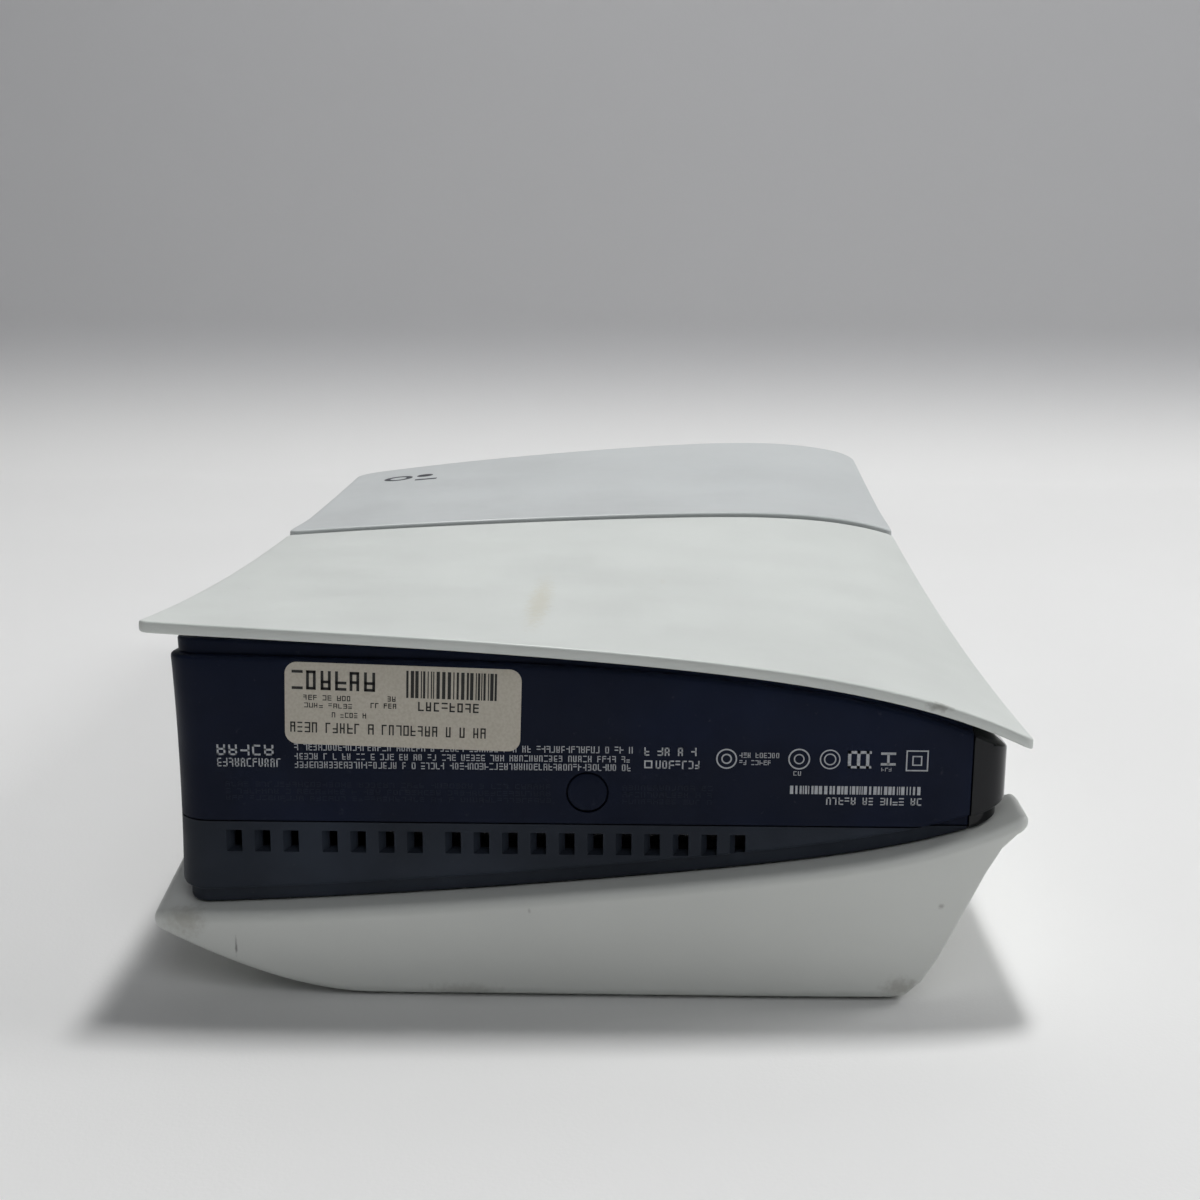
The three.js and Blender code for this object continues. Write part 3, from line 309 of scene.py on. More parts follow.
def slot_dip(x, y):
    """How far the front edge dips so that discs pass over it: down to the slot's lower side."""
    ends = smooth((x - SLOT_ENDS[0] + 10) / 10) * smooth((SLOT_ENDS[1] + 10 - x) / 10)
    over = lower_skin(x, y) + RIM - (SLOT_LOW - 0.5)
    return ends * np.maximum(over, 0) * (y < 0)


def bulge_skin(x, y):
    """The outer face of the cover: the skin and the flat underside, mixed by the bulge's share."""
    share = bulge(x, y)
    return (lower_skin(x, y) - slot_dip(x, y)) * (1 - share) + PAD_HEIGHT * share


def outline(corners, radii, inset=0.0, per_side=56, per_corner=10):
    """A ring of points in plan round a polygon with round corners, moved in by inset. A corner moves
    by inset (n + m) / (1 + n.m), for its edges' inward normals n and m, and its arc's centre by its
    radius more."""
    corners = np.array(corners, float)
    ahead = np.roll(corners, -1, 0) - corners
    ahead /= np.linalg.norm(ahead, axis=1)[:, None]
    came = np.roll(ahead, 1, 0)
    normal_in = np.stack([-came[:, 1], came[:, 0]], -1)
    normal_out = np.stack([-ahead[:, 1], ahead[:, 0]], -1)
    reach = (normal_in + normal_out) / (1 + np.sum(normal_in * normal_out, 1))[:, None]
    round_by = np.maximum(np.array(radii, float) - inset, 0.5)
    centre = corners + reach * (inset + round_by)[:, None]
    turn = np.arccos(np.clip(np.sum(came * ahead, 1), -1, 1))
    angle = turn[:, None] * np.linspace(0, 1, per_corner)
    spread = np.cos(angle)[..., None] * -normal_in[:, None] + np.sin(angle)[..., None] * came[:, None]
    arcs = centre[:, None] + round_by[:, None, None] * spread
    start, end = arcs[:, -1], np.roll(arcs[:, 0], -1, 0)
    share = np.linspace(0, 1, per_side + 2)[1:-1, None]
    sides = start[:, None] + (end - start)[:, None] * share
    return np.concatenate([arcs, sides], 1).reshape(-1, 2)


def bowed(plan):
    """Sweeps the corners at the stand end back by END_BOW times the sixth power of the share of the
    half depth, fading out over BOW_REACH."""
    x, y = plan[..., 0], plan[..., 1]
    fading = np.clip(1 - (x - NEAR) / BOW_REACH, 0, 1) ** 2
    return np.stack([x + END_BOW * np.abs(y / REAR) ** 6 * fading, y], -1)


def main_plan(inset):
    """The main covers' outline, moved in by inset."""
    half = SEAM_GAP / 2
    corners = [(NEAR, FRONT), (SEAM_FRONT - half, FRONT), (SEAM_REAR - half, REAR), (NEAR, REAR)]
    return bowed(outline(corners, (3.0, 2.4, 2.4, 3.0), inset))


def shrunk(plan, shares):
    """Rings towards the middle of a plan: its points drawn to their mean by each share."""
    middle = plan.mean(0)
    return [middle + (plan - middle) * share for share in shares]


def ring(plan, height):
    """A plan's points with their heights, or with one height for all."""
    return np.column_stack([plan, np.broadcast_to(height, len(plan))])


def on(surface, plan, lift=0.0):
    """A ring that lies on a surface z = f(x, y), raised by lift."""
    return ring(plan, surface(plan[:, 0], plan[:, 1]) + lift)


def closed(rows, wraps=False):
    """A closed shape from rings of equal length: each is joined to the next, and the end rings are
    closed by triangles to their middles, or to each other if the rows wrap. Its faces are turned
    outwards by the sign of its volume, the sum of a . (b x c) / 6."""
    rows = np.asarray(rows, float)
    moved = np.abs(rows - np.roll(rows, 1, 0)).max((1, 2)) > 1e-6
    rows = rows[moved]
    count, width = rows.shape[:2]
    points = rows.reshape(-1, 3)
    here = np.arange(width)
    ahead = np.roll(here, -1)
    steps = np.arange(count if wraps else count - 1)[:, None]
    low, high = steps * width, (steps + 1) % count * width
    quads = np.stack([low + here, low + ahead, high + ahead, high + here], -1).reshape(-1, 4)
    triangles = np.zeros((0, 3), int)
    if not wraps:
        points = np.vstack([points, rows[0].mean(0), rows[-1].mean(0)])
        first = np.stack([ahead, here, np.full(width, count * width)], -1)
        top = (count - 1) * width
        last = np.stack([here + top, ahead + top, np.full(width, count * width + 1)], -1)
        triangles = np.vstack([first, last])
    split = np.vstack([quads[:, [0, 1, 2]], quads[:, [0, 2, 3]], triangles])
    a, b, c = (points[split[:, i]] - points.mean(0) for i in range(3))
    if np.sum(a * np.cross(b, c)) < 0:
        quads, triangles = quads[:, ::-1], triangles[:, ::-1]
    return points, quads.tolist() + triangles.tolist()


def cut_by(piece, cutters):
    """Cuts closed shapes out of a piece, as one exact Boolean whose result becomes its mesh."""
    tool = object_from("cutter", cutters, piece.data.materials[0])
    modifier = piece.modifiers.new("cut", "BOOLEAN")
    modifier.object = tool
    modifier.solver = "EXACT"
    evaluated = piece.evaluated_get(bpy.context.evaluated_depsgraph_get())
    result = bpy.data.meshes.new_from_object(evaluated)
    piece.modifiers.clear()
    blank = piece.data
    piece.data = result
    bpy.data.meshes.remove(blank)
    result.name = piece.name
    bpy.data.objects.remove(tool)
    result.materials.clear()


def piece(name, shapes, finish, body, slot, nodes=(), cutters=(), sharp=32.0):
    """Makes a piece from closed shapes, cuts each group of cutters out of it, smooths it but for
    edges over an angle, and says what body it rides on and the CAD nodes it stands for. Its slot
    is not used."""
    made = object_from(name, shapes, finish)
    for group in cutters:
        cut_by(made, group)
        made.data.materials.append(finish)
    made.data.shade_smooth()
    made.data.set_sharp_from_angle(angle=math.radians(sharp))
    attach(made, body)
    if nodes:
        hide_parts(*nodes)
    return made


def block(low, high):
    """A plain box between two corners, for cutting."""
    (x0, y0, z0), (x1, y1, z1) = low, high
    plan = np.array([(x0, y0), (x1, y0), (x1, y1), (x0, y1)], float)
    return closed([ring(plan, z0), ring(plan, z1)])


def distance_to(made, centre, stretch=(1.0, 1.0, 1.0)):
    """How far a point of the piece is from a centre in metres, with each axis stretched."""
    moved = node(made, "VectorMath", {"operation": "SUBTRACT"}, _0=place(made), _1=centre)
    scaled = node(made, "VectorMath", {"operation": "MULTIPLY"}, _0=moved.outputs[0], _1=stretch)
    return node(made, "VectorMath", {"operation": "LENGTH"}, _0=scaled.outputs[0]).outputs["Value"]


def cover_plastic(name, colour, roughness, marks=(), grime=0.22):
    """Satin white plastic: a fine spark-eroded grain, faint handling haze, specks of grey grime in
    patches, and the given marks, each a place, a stretch, a radius, a strength and a colour."""
    made = new_material(name, Roughness=roughness, IOR=1.47)
    where = place(made)
    shade = fade(made, noise(made, 14.0, 4.0, where), 0.35, 0.75)
    paint = blend_colours(made, shade, srgb(*colour), srgb(*(0.972 * np.array(colour))))
    for centre, stretch, radius, strength, tint in marks:
        ragged = calc(made, "MULTIPLY", noise(made, 700.0, 3.0, where), radius * 0.9)
        reach = calc(made, "ADD", distance_to(made, centre, stretch), ragged)
        share = fade(made, reach, radius * 0.55, radius * 1.35, strength, 0.0)
        paint = blend_colours(made, share, paint, srgb(*tint))
    specks = fade(made, noise(made, 420.0, 2.0, where), 0.735, 0.79, 0.0, grime)
    patches = fade(made, noise(made, 30.0, 3.0, where), 0.55, 0.72)
    dirt = calc(made, "MULTIPLY", specks, patches)
    set_shader(made, Base_Color=blend_colours(made, dirt, paint, srgb(126, 120, 112)))
    haze = fade(made, noise(made, 38.0, 4.0, where), 0.3, 0.75, roughness - 0.05, roughness + 0.09)
    set_shader(made, Roughness=haze)
    relief(made, noise(made, 1700.0, 2.0, where), 0.000012, 0.3)
    return made


def rim_top(x, y):
    """The rim's flat top, a set height over the skin, dipping at the disc slot."""
    return lower_skin(x, y) + RIM - slot_dip(x, y)


def flange_low(x, y):
    """The flange's underside, which runs into the skin's lining where the bulge fades out."""
    return np.maximum(bulge_skin(x, y) + COVER_WALL + 0.15, rim_top(x, y) - COVER_WALL)


def main_lower_shell():
    """Rings from the lining's middle out to the end wall, up and in under the flange, over it, round
    the lip (a quarter circle), down the wall, round the foot (a quarter circle whose radius grows
    with the bulge) and back along the skin to its middle."""
    plans = [main_plan(inset) for inset in np.arange(3, 58.6, 1.5)]
    plans += shrunk(plans[-1], np.linspace(0.93, 0.03, 12))
    rows = [on(bulge_skin, plan, COVER_WALL) for plan in plans[::-1]]
    rows += [on(flange_low, main_plan(inset)) for inset in (3, 6, 9, FLANGE)]
    rows += [on(rim_top, main_plan(inset)) for inset in (FLANGE, 9, 6, 4)]
    edge, inner = main_plan(0), main_plan(LIP)
    for angle in np.linspace(0, np.pi / 2, 8):
        plan = edge + (inner - edge) * (1 - np.sin(angle))
        rows.append(on(rim_top, plan, -LIP * (1 - np.cos(angle))))
    foot = 1.1 + 1.7 * bulge(edge[:, 0], edge[:, 1])
    high = rows[-1][:, 2]
    low = bulge_skin(edge[:, 0], edge[:, 1]) + foot
    rows += [ring(edge, high + (low - high) * share) for share in np.linspace(0.12, 0.88, 7)]
    for angle in np.linspace(0, np.pi / 2, 8):
        plan = edge + (inner - edge) * (foot * (1 - np.cos(angle)) / LIP)[:, None]
        rows.append(ring(plan, bulge_skin(plan[:, 0], plan[:, 1]) + foot * (1 - np.sin(angle))))
    rows += [on(bulge_skin, plan) for plan in plans]
    return closed(rows)


def pad(plan, middle, low, high, edge=0.25):
    """A low flat-topped boss under the bulge: its outline goes straight down, then in by the edge."""
    inner = middle + (plan - middle) * (1 - edge / np.linalg.norm(plan - middle, axis=1).max())
    return closed([ring(plan, high), ring(plan, low + edge), ring(inner, low)])


def disc_plan(x, y, radius, count=40):
    """A circle in plan."""
    angle = np.linspace(0, 2 * np.pi, count, endpoint=False)
    return np.column_stack([x + radius * np.cos(angle), y + radius * np.sin(angle)])


def resting_pads():
    """Two bars and two dots in a row at the stand end, and three round pads, as one set."""
    high = PAD_HEIGHT + 0.5
    shapes = []
    for away in (60.0, 76.0):
        corners = [(NEAR + 3, REAR - away - 2.5), (NEAR + 8, REAR - away - 2.5)]
        corners += [(NEAR + 8, REAR - away + 2.5), (NEAR + 3, REAR - away + 2.5)]
        plan = outline(corners, (0.6,) * 4, 0, 6, 4)
        shapes.append(pad(plan, plan.mean(0), 0.0, high))
    rounds = [(NEAR + 5, REAR - 65.6, 1.9), (NEAR + 5, REAR - 70.4, 1.9), (NEAR + 18, FRONT + 48, 7.0)]
    for y in (REAR - 78, FRONT + 48):
        rounds.append((seam_at(y) - 32, y, 7.0))
    for x, y, radius in rounds:
        shapes.append(pad(disc_plan(x, y, radius), np.array([x, y]), 0.0, high))
    return shapes


# Scuffs, nicks and yellowed patches on the end wall: each one's place and stretch of its axes, then
# its radius in metres, its strength and its colour.
END_MARKS = (
    ((-0.1785, 0.0140, 0.0236), (1, 1.4, 1), 0.0011, 0.85, (104, 98, 92)),
    ((-0.1785, -0.0868, 0.0255), (1, 1, 1), 0.0013, 0.55, (112, 106, 99)),
    ((-0.178, 0.0868, 0.0130), (1, 3.2, 0.45), 0.0016, 0.7, (92, 88, 84)),
    ((-0.176, 0.0995, 0.0190), (1, 0.8, 1), 0.0062, 0.34, (128, 118, 96)),
    ((-0.1785, -0.0780, 0.0040), (1, 0.55, 1), 0.0042, 0.36, (112, 102, 86)),
    ((-0.1785, 0.0300, 0.0022), (1, 0.2, 1), 0.0030, 0.26, (120, 112, 98)),
)
# Whiter than the upper main cover, though the covers are one plastic: painted light that brightens this
# cover's end wall, which stands in shade.
lower_white_painted_light = cover_plastic("lower_cover_plastic_painted_light", (230, 232, 228), 0.34, END_MARKS)
piece(
    "lower_main_cover_shell",
    [main_lower_shell(), *resting_pads()],
    lower_white_painted_light,
    "console_frame",
    "cover",
    ["lower_cover_main"],
)

# ---------------------------------------------------------------- lower small cover
# The short cover beyond the seam underneath, in the same plastic a little bluer. It is a plain
# crowned shell with round edges, clipped to the housing.
SMALL_WHITE = (204, 208, 208)


def small_plan(inset):
    """The small covers' outline, moved in by inset."""
    half = SEAM_GAP / 2
    corners = [(SEAM_FRONT + half, FRONT), (FAR, FRONT), (FAR, REAR), (SEAM_REAR + half, REAR)]
    return outline(corners, (2.4, 8.5, 8.5, 2.4), inset)


def crowned_shell(plan_at, outer, side):
    """A shell under an outer face, with side 1 for an upper cover and -1 for a lower one. Rings run
    from the lining's middle out, round the edge and back to the middle. The edge is a half circle as
    wide as the wall whose sine and cosine are square-rooted, which leaves a flat band between two
    tight roundings."""
    half = COVER_WALL / 2
    plans = [plan_at(inset) for inset in (half, 2.5, 4, 6, 9, 13, 18)]
    plans += shrunk(plans[-1], np.linspace(0.94, 0.02, 22))
    rows = [on(outer, plan, -side * COVER_WALL) for plan in plans[::-1]]
    edge, inner = plan_at(0), plan_at(half)
    for angle in np.linspace(-np.pi / 2, np.pi / 2, 15)[1:-1]:
        plan = edge + (inner - edge) * (1 - np.sqrt(np.cos(angle)))
        rise = np.sign(np.sin(angle)) * np.sqrt(np.abs(np.sin(angle)))
        rows.append(on(outer, plan, side * half * (rise - 1)))
    rows += [on(outer, plan) for plan in plans]
    return closed(rows)


small_white = cover_plastic("small_cover_plastic", SMALL_WHITE, 0.34, (), 0.02)
piece(
    "lower_small_cover_shell",
    [crowned_shell(small_plan, lower_skin, -1)],
    small_white,
    "console_frame",
    "cover",
    ["lower_cover_small"],
)

# ---------------------------------------------------------------- lower housing
# The lower half of the black housing, moulded with a fine matt grain. It steps in where it stands on
# the cover's flange, and its end wall has a row of air slots, each with one slanted side.
COVER_GAP = 1.2
HOUSING_WALL = 1.8
STEP_HEIGHT = 4.0
STEP_IN = 2.0
PARTING = 44.3  # height of the joint between the housing's halves
PARTING_GAP = 0.4
HOUSE_NEAR, TRIM_BACK = extent("upper_housing")[0][:2]
HOUSE_FAR, HOUSE_REAR = extent("upper_housing")[1][:2]
HOUSE_CORNER = 8.0
HOLLOW = 1.0  # how far the rear face curves in at the stand end's corner
SHOULDER_RUN = 135.0  # the upper shoulder fades out over this much of the end face
AIR_SLOTS = ((18.6, 3), (42.2, 4), (72.6, 11))  # each group's distance from the rear, and its count
SLOT_PITCH, SLOT_WIDTH = 7.0, 4.3
SLOT_BASE, SLOT_TOP = 36.2, 42.0


def house_low(x, y):
    """The housing's underside, a wall and a gap over the lower covers' skin."""
    return lower_skin(x, y) + COVER_WALL + COVER_GAP


def house_top(x, y):
    """The housing's top, a wall and a gap under the upper covers' skin."""
    return MIDDLE + crown(x, y) - COVER_WALL - COVER_GAP


def house_plan(inset, front_in=0.0):
    """The housing's outline behind the front trim: its sides and rear move in by one distance, and
    its front by another."""
    near, far, rear = HOUSE_NEAR + inset, HOUSE_FAR - inset, HOUSE_REAR - inset
    front = TRIM_BACK + front_in
    corners = [(near, front), (far, front), (far, rear), (near, rear)]
    round_by = max(HOUSE_CORNER - inset, 2.0)
    return outline(corners, (0.5, 0.5, round_by, round_by), 0)


def curved_rear(points):
    """Curves the rear face in: a parabola over the height, strongest at the stand end's corner."""
    x, y, z = points[..., 0], points[..., 1], points[..., 2]
    amount = 0.4 + HOLLOW * np.exp(-(x - HOUSE_NEAR) / 14)
    curve = np.clip(1 - ((z - 50) / 38) ** 2, 0, 1)
    return np.stack([x, y - amount * curve * smooth((y - 70) / 28), z], -1)


def shoulder_drop(plan):
    """How far the upper shoulder is under the top: its full height at the rear, fading to the front."""
    fading = 1 - smooth((REAR - plan[:, 1]) / SHOULDER_RUN)
    return -1.0 - (STEP_HEIGHT - 1.0) * fading


def house_shape():
    """Rings from the underside's middle out, round its edge, up the foot, out round the shoulder's
    quarter circle, up the wall, in round the upper shoulder, up and in over the top."""
    rounding, shoulder = 0.8, 1.3
    edge = STEP_IN + rounding
    flat = [house_plan(inset, inset - edge) for inset in (edge, 6, 14)]
    flat += shrunk(flat[-1], np.linspace(0.92, 0.03, 14))
    quarter = np.linspace(0, np.pi / 2, 6)
    low = [on(house_low, plan) for plan in flat[::-1]]
    for a in quarter:
        low.append(on(house_low, house_plan(edge - rounding * np.sin(a)), rounding * (1 - np.cos(a))))
    low += [on(house_low, house_plan(STEP_IN), STEP_HEIGHT - 0.15)]
    low += [
        on(house_low, house_plan(shoulder * (1 - np.sin(a))), STEP_HEIGHT + shoulder * (1 - np.cos(a)))
        for a in quarter
    ]
    high = []
    for a in quarter:
        plan = house_plan(shoulder * (1 - np.cos(a)))
        high.append(on(house_top, plan, shoulder_drop(plan) - shoulder * (1 - np.sin(a))))
    plan = house_plan(STEP_IN)
    high.append(on(house_top, plan, shoulder_drop(plan) + 0.15))
    for a in quarter:
        high.append(on(house_top, house_plan(edge - rounding * np.cos(a)), -rounding * (1 - np.sin(a))))
    high += [on(house_top, plan) for plan in flat]
    foot, head = low[-1], high[0]
    wall = [foot + (head - foot) * share for share in np.linspace(0.06, 0.94, 12)]
    return closed(curved_rear(np.array(low + wall + high)))


def house_hollow():
    """The room inside the housing: its wall's thickness in from the faces, and open to the front."""
    inset = STEP_IN + HOUSING_WALL
    near, far, rear = HOUSE_NEAR + inset, HOUSE_FAR - inset, HOUSE_REAR - inset
    corners = [(near, TRIM_BACK - 10), (far, TRIM_BACK - 10), (far, rear), (near, rear)]
    plan = outline(corners, (0.5, 0.5, 4, 4), 0, 30, 5)
    plans = [plan, *shrunk(plan, np.linspace(0.92, 0.04, 12))]
    rows = [on(house_low, each, HOUSING_WALL) for each in plans[::-1]]
    rows += [on(house_top, each, -HOUSING_WALL) for each in plans]
    return closed(rows)


def air_slots():
    """The row of slots, as cutters that run through the end wall: each narrows inwards on one side."""
    shapes = []
    low, high = SLOT_BASE, SLOT_TOP
    for first, count in AIR_SLOTS:
        for step in range(count):
            rear = REAR - first - SLOT_PITCH * step
            front = rear - SLOT_WIDTH
            slant = rear - 1.9
            mouth = np.array([(rear, low), (front, low), (front, high), (rear, high)])
            inner = np.array([(slant, 0.5), (front, 0.5), (front, -0.4), (slant, -0.4)])
            back = inner + np.array([(0, low), (0, low), (0, high), (0, high)])
            sections = ((-0.6, mouth), (2.1, back), (HOUSING_WALL + STEP_IN + 1.7, back))
            rows = [np.column_stack([np.full(4, x), flat]) for x, flat in sections]
            shapes.append(closed(np.array(rows) + np.array([HOUSE_NEAR, 0, 0])))
    return shapes


def matt_black(name, colour, roughness, shine=0.4):
    """Dark moulded plastic: a fine even grain, faint grey dust that thins out, and wear haze."""
    made = new_material(name, Roughness=roughness, IOR=1.46, Specular_IOR_Level=shine)
    where = place(made)
    cloud = fade(made, noise(made, 26.0, 4.0, where), 0.35, 0.75)
    paint = blend_colours(made, cloud, srgb(*colour), srgb(*(1.28 * np.array(colour))))
    dust = fade(made, noise(made, 520.0, 3.0, where), 0.66, 0.86, 0.0, 0.16)
    set_shader(made, Base_Color=blend_colours(made, dust, paint, srgb(96, 98, 102)))
    haze = fade(made, noise(made, 60.0, 3.0, where), 0.3, 0.7, roughness - 0.06, roughness + 0.1)
    set_shader(made, Roughness=haze)
    relief(made, noise(made, 1900.0, 3.0, where), 0.00005, 0.7)
    return made


DRIVE_LOW, DRIVE_HIGH = extent("drive_chassis")
LID_TOP = extent("drive_lid")[1][2]
FIT = 0.4
drive_bay = block(
    (DRIVE_LOW[0] - FIT, TRIM_BACK - 20, -10), (DRIVE_HIGH[0] + FIT, DRIVE_HIGH[1] + FIT, LID_TOP + FIT)
)
# The lit copy of the housing's black plastic. The upper half's copy is painted darker and bluer as painted
# shade.
lower_black = matt_black("lower_housing_plastic", (40, 45, 54), 0.5, 0.15)
above = block((-300, -200, PARTING - PARTING_GAP / 2), (300, 200, 200))
piece(
    "lower_housing_half",
    [house_shape()],
    lower_black,
    "console_frame",
    "housing",
    ["lower_housing"],
    [[above], [house_hollow()], [drive_bay], air_slots()],
)

# ---------------------------------------------------------------- disc drive
# The slot-loading drive sits in the bulge: a pressed steel tray and lid, a rubber feed roller, a
# turntable under a clamp, and a laser sled that a screw draws along two polished rails.
def dress(names, finish):
    """Gives CAD nodes a finish in their own material slots."""
    for name in names:
        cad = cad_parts[name]
        if not cad.material_slots:
            cad.data.materials.append(finish)
        cad.material_slots[0].material = finish


def metal(name, colour, roughness, along=(1.0, 1.0, 1.0), tarnish=(0.82, 0.8, 0.78)):
    """Bare metal: fine lines drawn out along an axis, roughness that follows them, faint tarnish."""
    made = new_material(name, Metallic=1.0, Roughness=roughness)
    where = place(made)
    drawn = node(made, "Mapping", Vector=where, Scale=along).outputs[0]
    lines = noise(made, 900.0, 3.0, drawn)
    cloud = fade(made, noise(made, 45.0, 4.0, where), 0.4, 0.75)
    dull = tuple(np.array(colour) * np.array(tarnish))
    set_shader(made, Base_Color=blend_colours(made, cloud, srgb(*colour), srgb(*dull)))
    set_shader(made, Roughness=fade(made, lines, 0.3, 0.7, roughness - 0.08, roughness + 0.12))
    relief(made, lines, 0.000015, 0.5)
    return made


def lathe(profile, centre, axis=2, count=48):
    """A turned shape: each (radius, height) of the profile goes once round an axis through the centre."""
    angle = np.linspace(0, 2 * np.pi, count, endpoint=False)
    circle = np.stack([np.cos(angle), np.sin(angle)], -1)
    across = [i for i in range(3) if i != axis]
    rows = np.zeros((len(profile), count, 3))
    for row, (radius, height) in zip(rows, profile):
        row[:, across] = circle * radius
        row[:, axis] = height
    return closed(rows + np.array(centre))


def middle_of(name):
    """The middle of a CAD node's box, in millimetres."""
    low, high = extent(name)
    return (low + high) / 2


steel = metal("pressed_steel", (176, 178, 180), 0.34, (1.0, 9.0, 9.0))
polished = metal("polished_steel", (205, 207, 210), 0.16, (9.0, 1.0, 9.0))
brass = metal("turned_brass", (184, 152, 86), 0.3)
black_moulding = matt_black("drive_moulding", (40, 41, 44), 0.42)
roller_rubber = matt_black("roller_rubber", (24, 24, 26), 0.78)
dress(["drive_chassis", "drive_lid", "spindle_motor", "sled_motor"], steel)
dress(["guide_rail_1", "guide_rail_2"], polished)
dress(["lead_screw"], brass)
dress(["laser_sled"], black_moulding)
roller_low, roller_high = extent("feed_roller")
roller_half = (roller_high[0] - roller_low[0]) / 2
roller_profile = [
    (1.2, -roller_half),
    (1.2, -roller_half + 4),
    (2.6, -roller_half + 4.1),
    (3.0, -roller_half + 4.6),
    (2.7, -8.0),
    (2.7, 8.0),
    (3.0, roller_half - 4.6),
    (2.6, roller_half - 4.1),
    (1.2, roller_half - 4),
    (1.2, roller_half),
]
piece(
    "feed_roller_rubber",
    [lathe(roller_profile, middle_of("feed_roller"), 0)],
    roller_rubber,
    "feed_roller",
    "rubber",
    ["feed_roller"],
)
table_low, table_high = extent("turntable")
table_at = (*middle_of("turntable")[:2], 0.0)
table_top = table_high[2]
table_profile = [
    (1.5, table_low[2]),
    (1.5, table_top - 4.6),
    (14.2, table_top - 4.5),
    (15.0, table_top - 4.1),
    (15.0, table_top - 2.5),
    (14.6, table_top - 2.2),
    (9.6, table_top - 2.6),
    (7.2, table_top - 2.4),
    (6.9, table_top - 0.7),
    (6.2, table_top - 0.1),
    (5.4, table_top),
    (2.2, table_top - 0.5),
]
table_shape = lathe(table_profile, table_at)
piece("turntable_hub", [table_shape], black_moulding, "turntable", "button", ["turntable"])
clamp_low, clamp_high = extent("disc_clamp")
clamp_profile = [(12.4, clamp_low[2]), (13.0, clamp_low[2] + 0.3)]
clamp_profile += [(12.6, clamp_high[2]), (4.0, clamp_high[2])]
clamp_shape = lathe(clamp_profile, table_at)
piece("disc_clamp_plate", [clamp_shape], black_moulding, "turntable", "button", ["disc_clamp"])

# The bar with the slot that discs go through, glossy black like the trim round it. The slot's mouth
# is flared so that a disc finds its way in.
def gloss_black(name, colour, roughness):
    """Polished black plastic with a clear surface: hair-fine swirl marks and a trace of dust."""
    gloss = {"Specular_IOR_Level": 0.28, "Coat_Weight": 0.08, "Coat_Roughness": 0.05}
    made = new_material(name, Roughness=roughness, **gloss)
    where = place(made)
    dust = fade(made, noise(made, 600.0, 3.0, where), 0.7, 0.88, 0.0, 0.1)
    cloud = fade(made, noise(made, 24.0, 3.0, where), 0.3, 0.8, 0.0, 1.0)
    paint = blend_colours(made, cloud, srgb(*colour), srgb(*(1.3 * np.array(colour))))
    set_shader(made, Base_Color=blend_colours(made, dust, paint, srgb(110, 112, 118)))
    swirls = noise(made, 110.0, 4.0, where)
    set_shader(made, Roughness=fade(made, swirls, 0.4, 0.75, roughness, roughness + 0.12))
    relief(made, noise(made, 90.0, 2.0, where), 0.00003, 0.25)
    return made


trim_gloss = gloss_black("trim_gloss", (7, 9, 14), 0.08)


def upright_plan(low, high, radius, per_side=14, per_corner=8):
    """A rounded rectangle that stands up, as points across and up."""
    corners = [(low[0], low[1]), (high[0], low[1]), (high[0], high[1]), (low[0], high[1])]
    return outline(corners, (radius,) * 4, 0, per_side, per_corner)


def facing_front(plan, y):
    """An upright plan placed across the front: across is X, up is Z."""
    return np.column_stack([plan[:, 0], np.full(len(plan), y), plan[:, 1]])


bezel_low, bezel_high = extent("disc_slot_bezel")
slot_half = (bezel_high[0] - bezel_low[0]) / 2 - 4
slot_middle = middle_of("disc_slot_bezel")[0]
DISC_PLANE = 46.9  # height of a disc's middle as it goes in
SLOT_HALF = 1.6
bezel_front, bezel_back = bezel_low[1], bezel_high[1]
bezel_steps = ((0.4, bezel_front), (0.1, bezel_front + 0.1), (0.0, bezel_front + 0.4), (0.0, bezel_back))
bezel_rows = [
    facing_front(upright_plan(bezel_low[[0, 2]] + gap, bezel_high[[0, 2]] - gap, 0.8), y)
    for gap, y in bezel_steps
]
slot_rows = [
    facing_front(
        upright_plan(
            (slot_middle - slot_half - more, DISC_PLANE - SLOT_HALF - more / 2),
            (slot_middle + slot_half + more, DISC_PLANE + SLOT_HALF + more / 2),
            1.4,
        ),
        bezel_low[1] + y,
    )
    for more, y in ((1.2, -1.0), (0.6, 0.3), (0.0, 1.1), (0.0, 20.0))
]
piece(
    "disc_slot_bar",
    [closed(bezel_rows)],
    trim_gloss,
    "console_frame",
    "trim",
    ["disc_slot_bezel"],
    [[closed(slot_rows)]],
)

# ---------------------------------------------------------------- board, processor and storage
# The main circuit board lies over a steel shield plate, with the processor under the heat sink, a
# storage stick under its hatch, a radio module and a coin cell for the clock.
def circuit_board(name, colour, track):
    """Green solder mask over a net of copper tracks that run square to each other, with tin dots."""
    made = new_material(name, Roughness=0.38, IOR=1.52)
    where = place(made)
    settings = {"feature": "F1", "distance": "MANHATTAN"}
    cells = node(made, "TexVoronoi", settings, Vector=where, Scale=210.0)
    tracks = fade(made, cells.outputs["Distance"], 0.28, 0.36)
    dots = node(made, "TexVoronoi", {"feature": "F1"}, Vector=where, Scale=360.0)
    tin = fade(made, dots.outputs["Distance"], 0.16, 0.2, 1.0, 0.0)
    mask = blend_colours(made, tracks, srgb(*colour), srgb(*track))
    set_shader(made, Base_Color=blend_colours(made, tin, mask, srgb(176, 178, 176)))
    relief(made, tracks, 0.00004, 0.6)
    return made


dress(["motherboard", "storage_module"], circuit_board("circuit_board", (18, 60, 40), (30, 92, 62)))
tinned_steel = metal("tinned_steel", (170, 172, 172), 0.4, (1, 7, 7))
dress(["shield_plate", "coin_cell", "wireless_module"], tinned_steel)
dress(["processor"], metal("nickelled_copper", (188, 186, 182), 0.28, (7, 1, 7)))

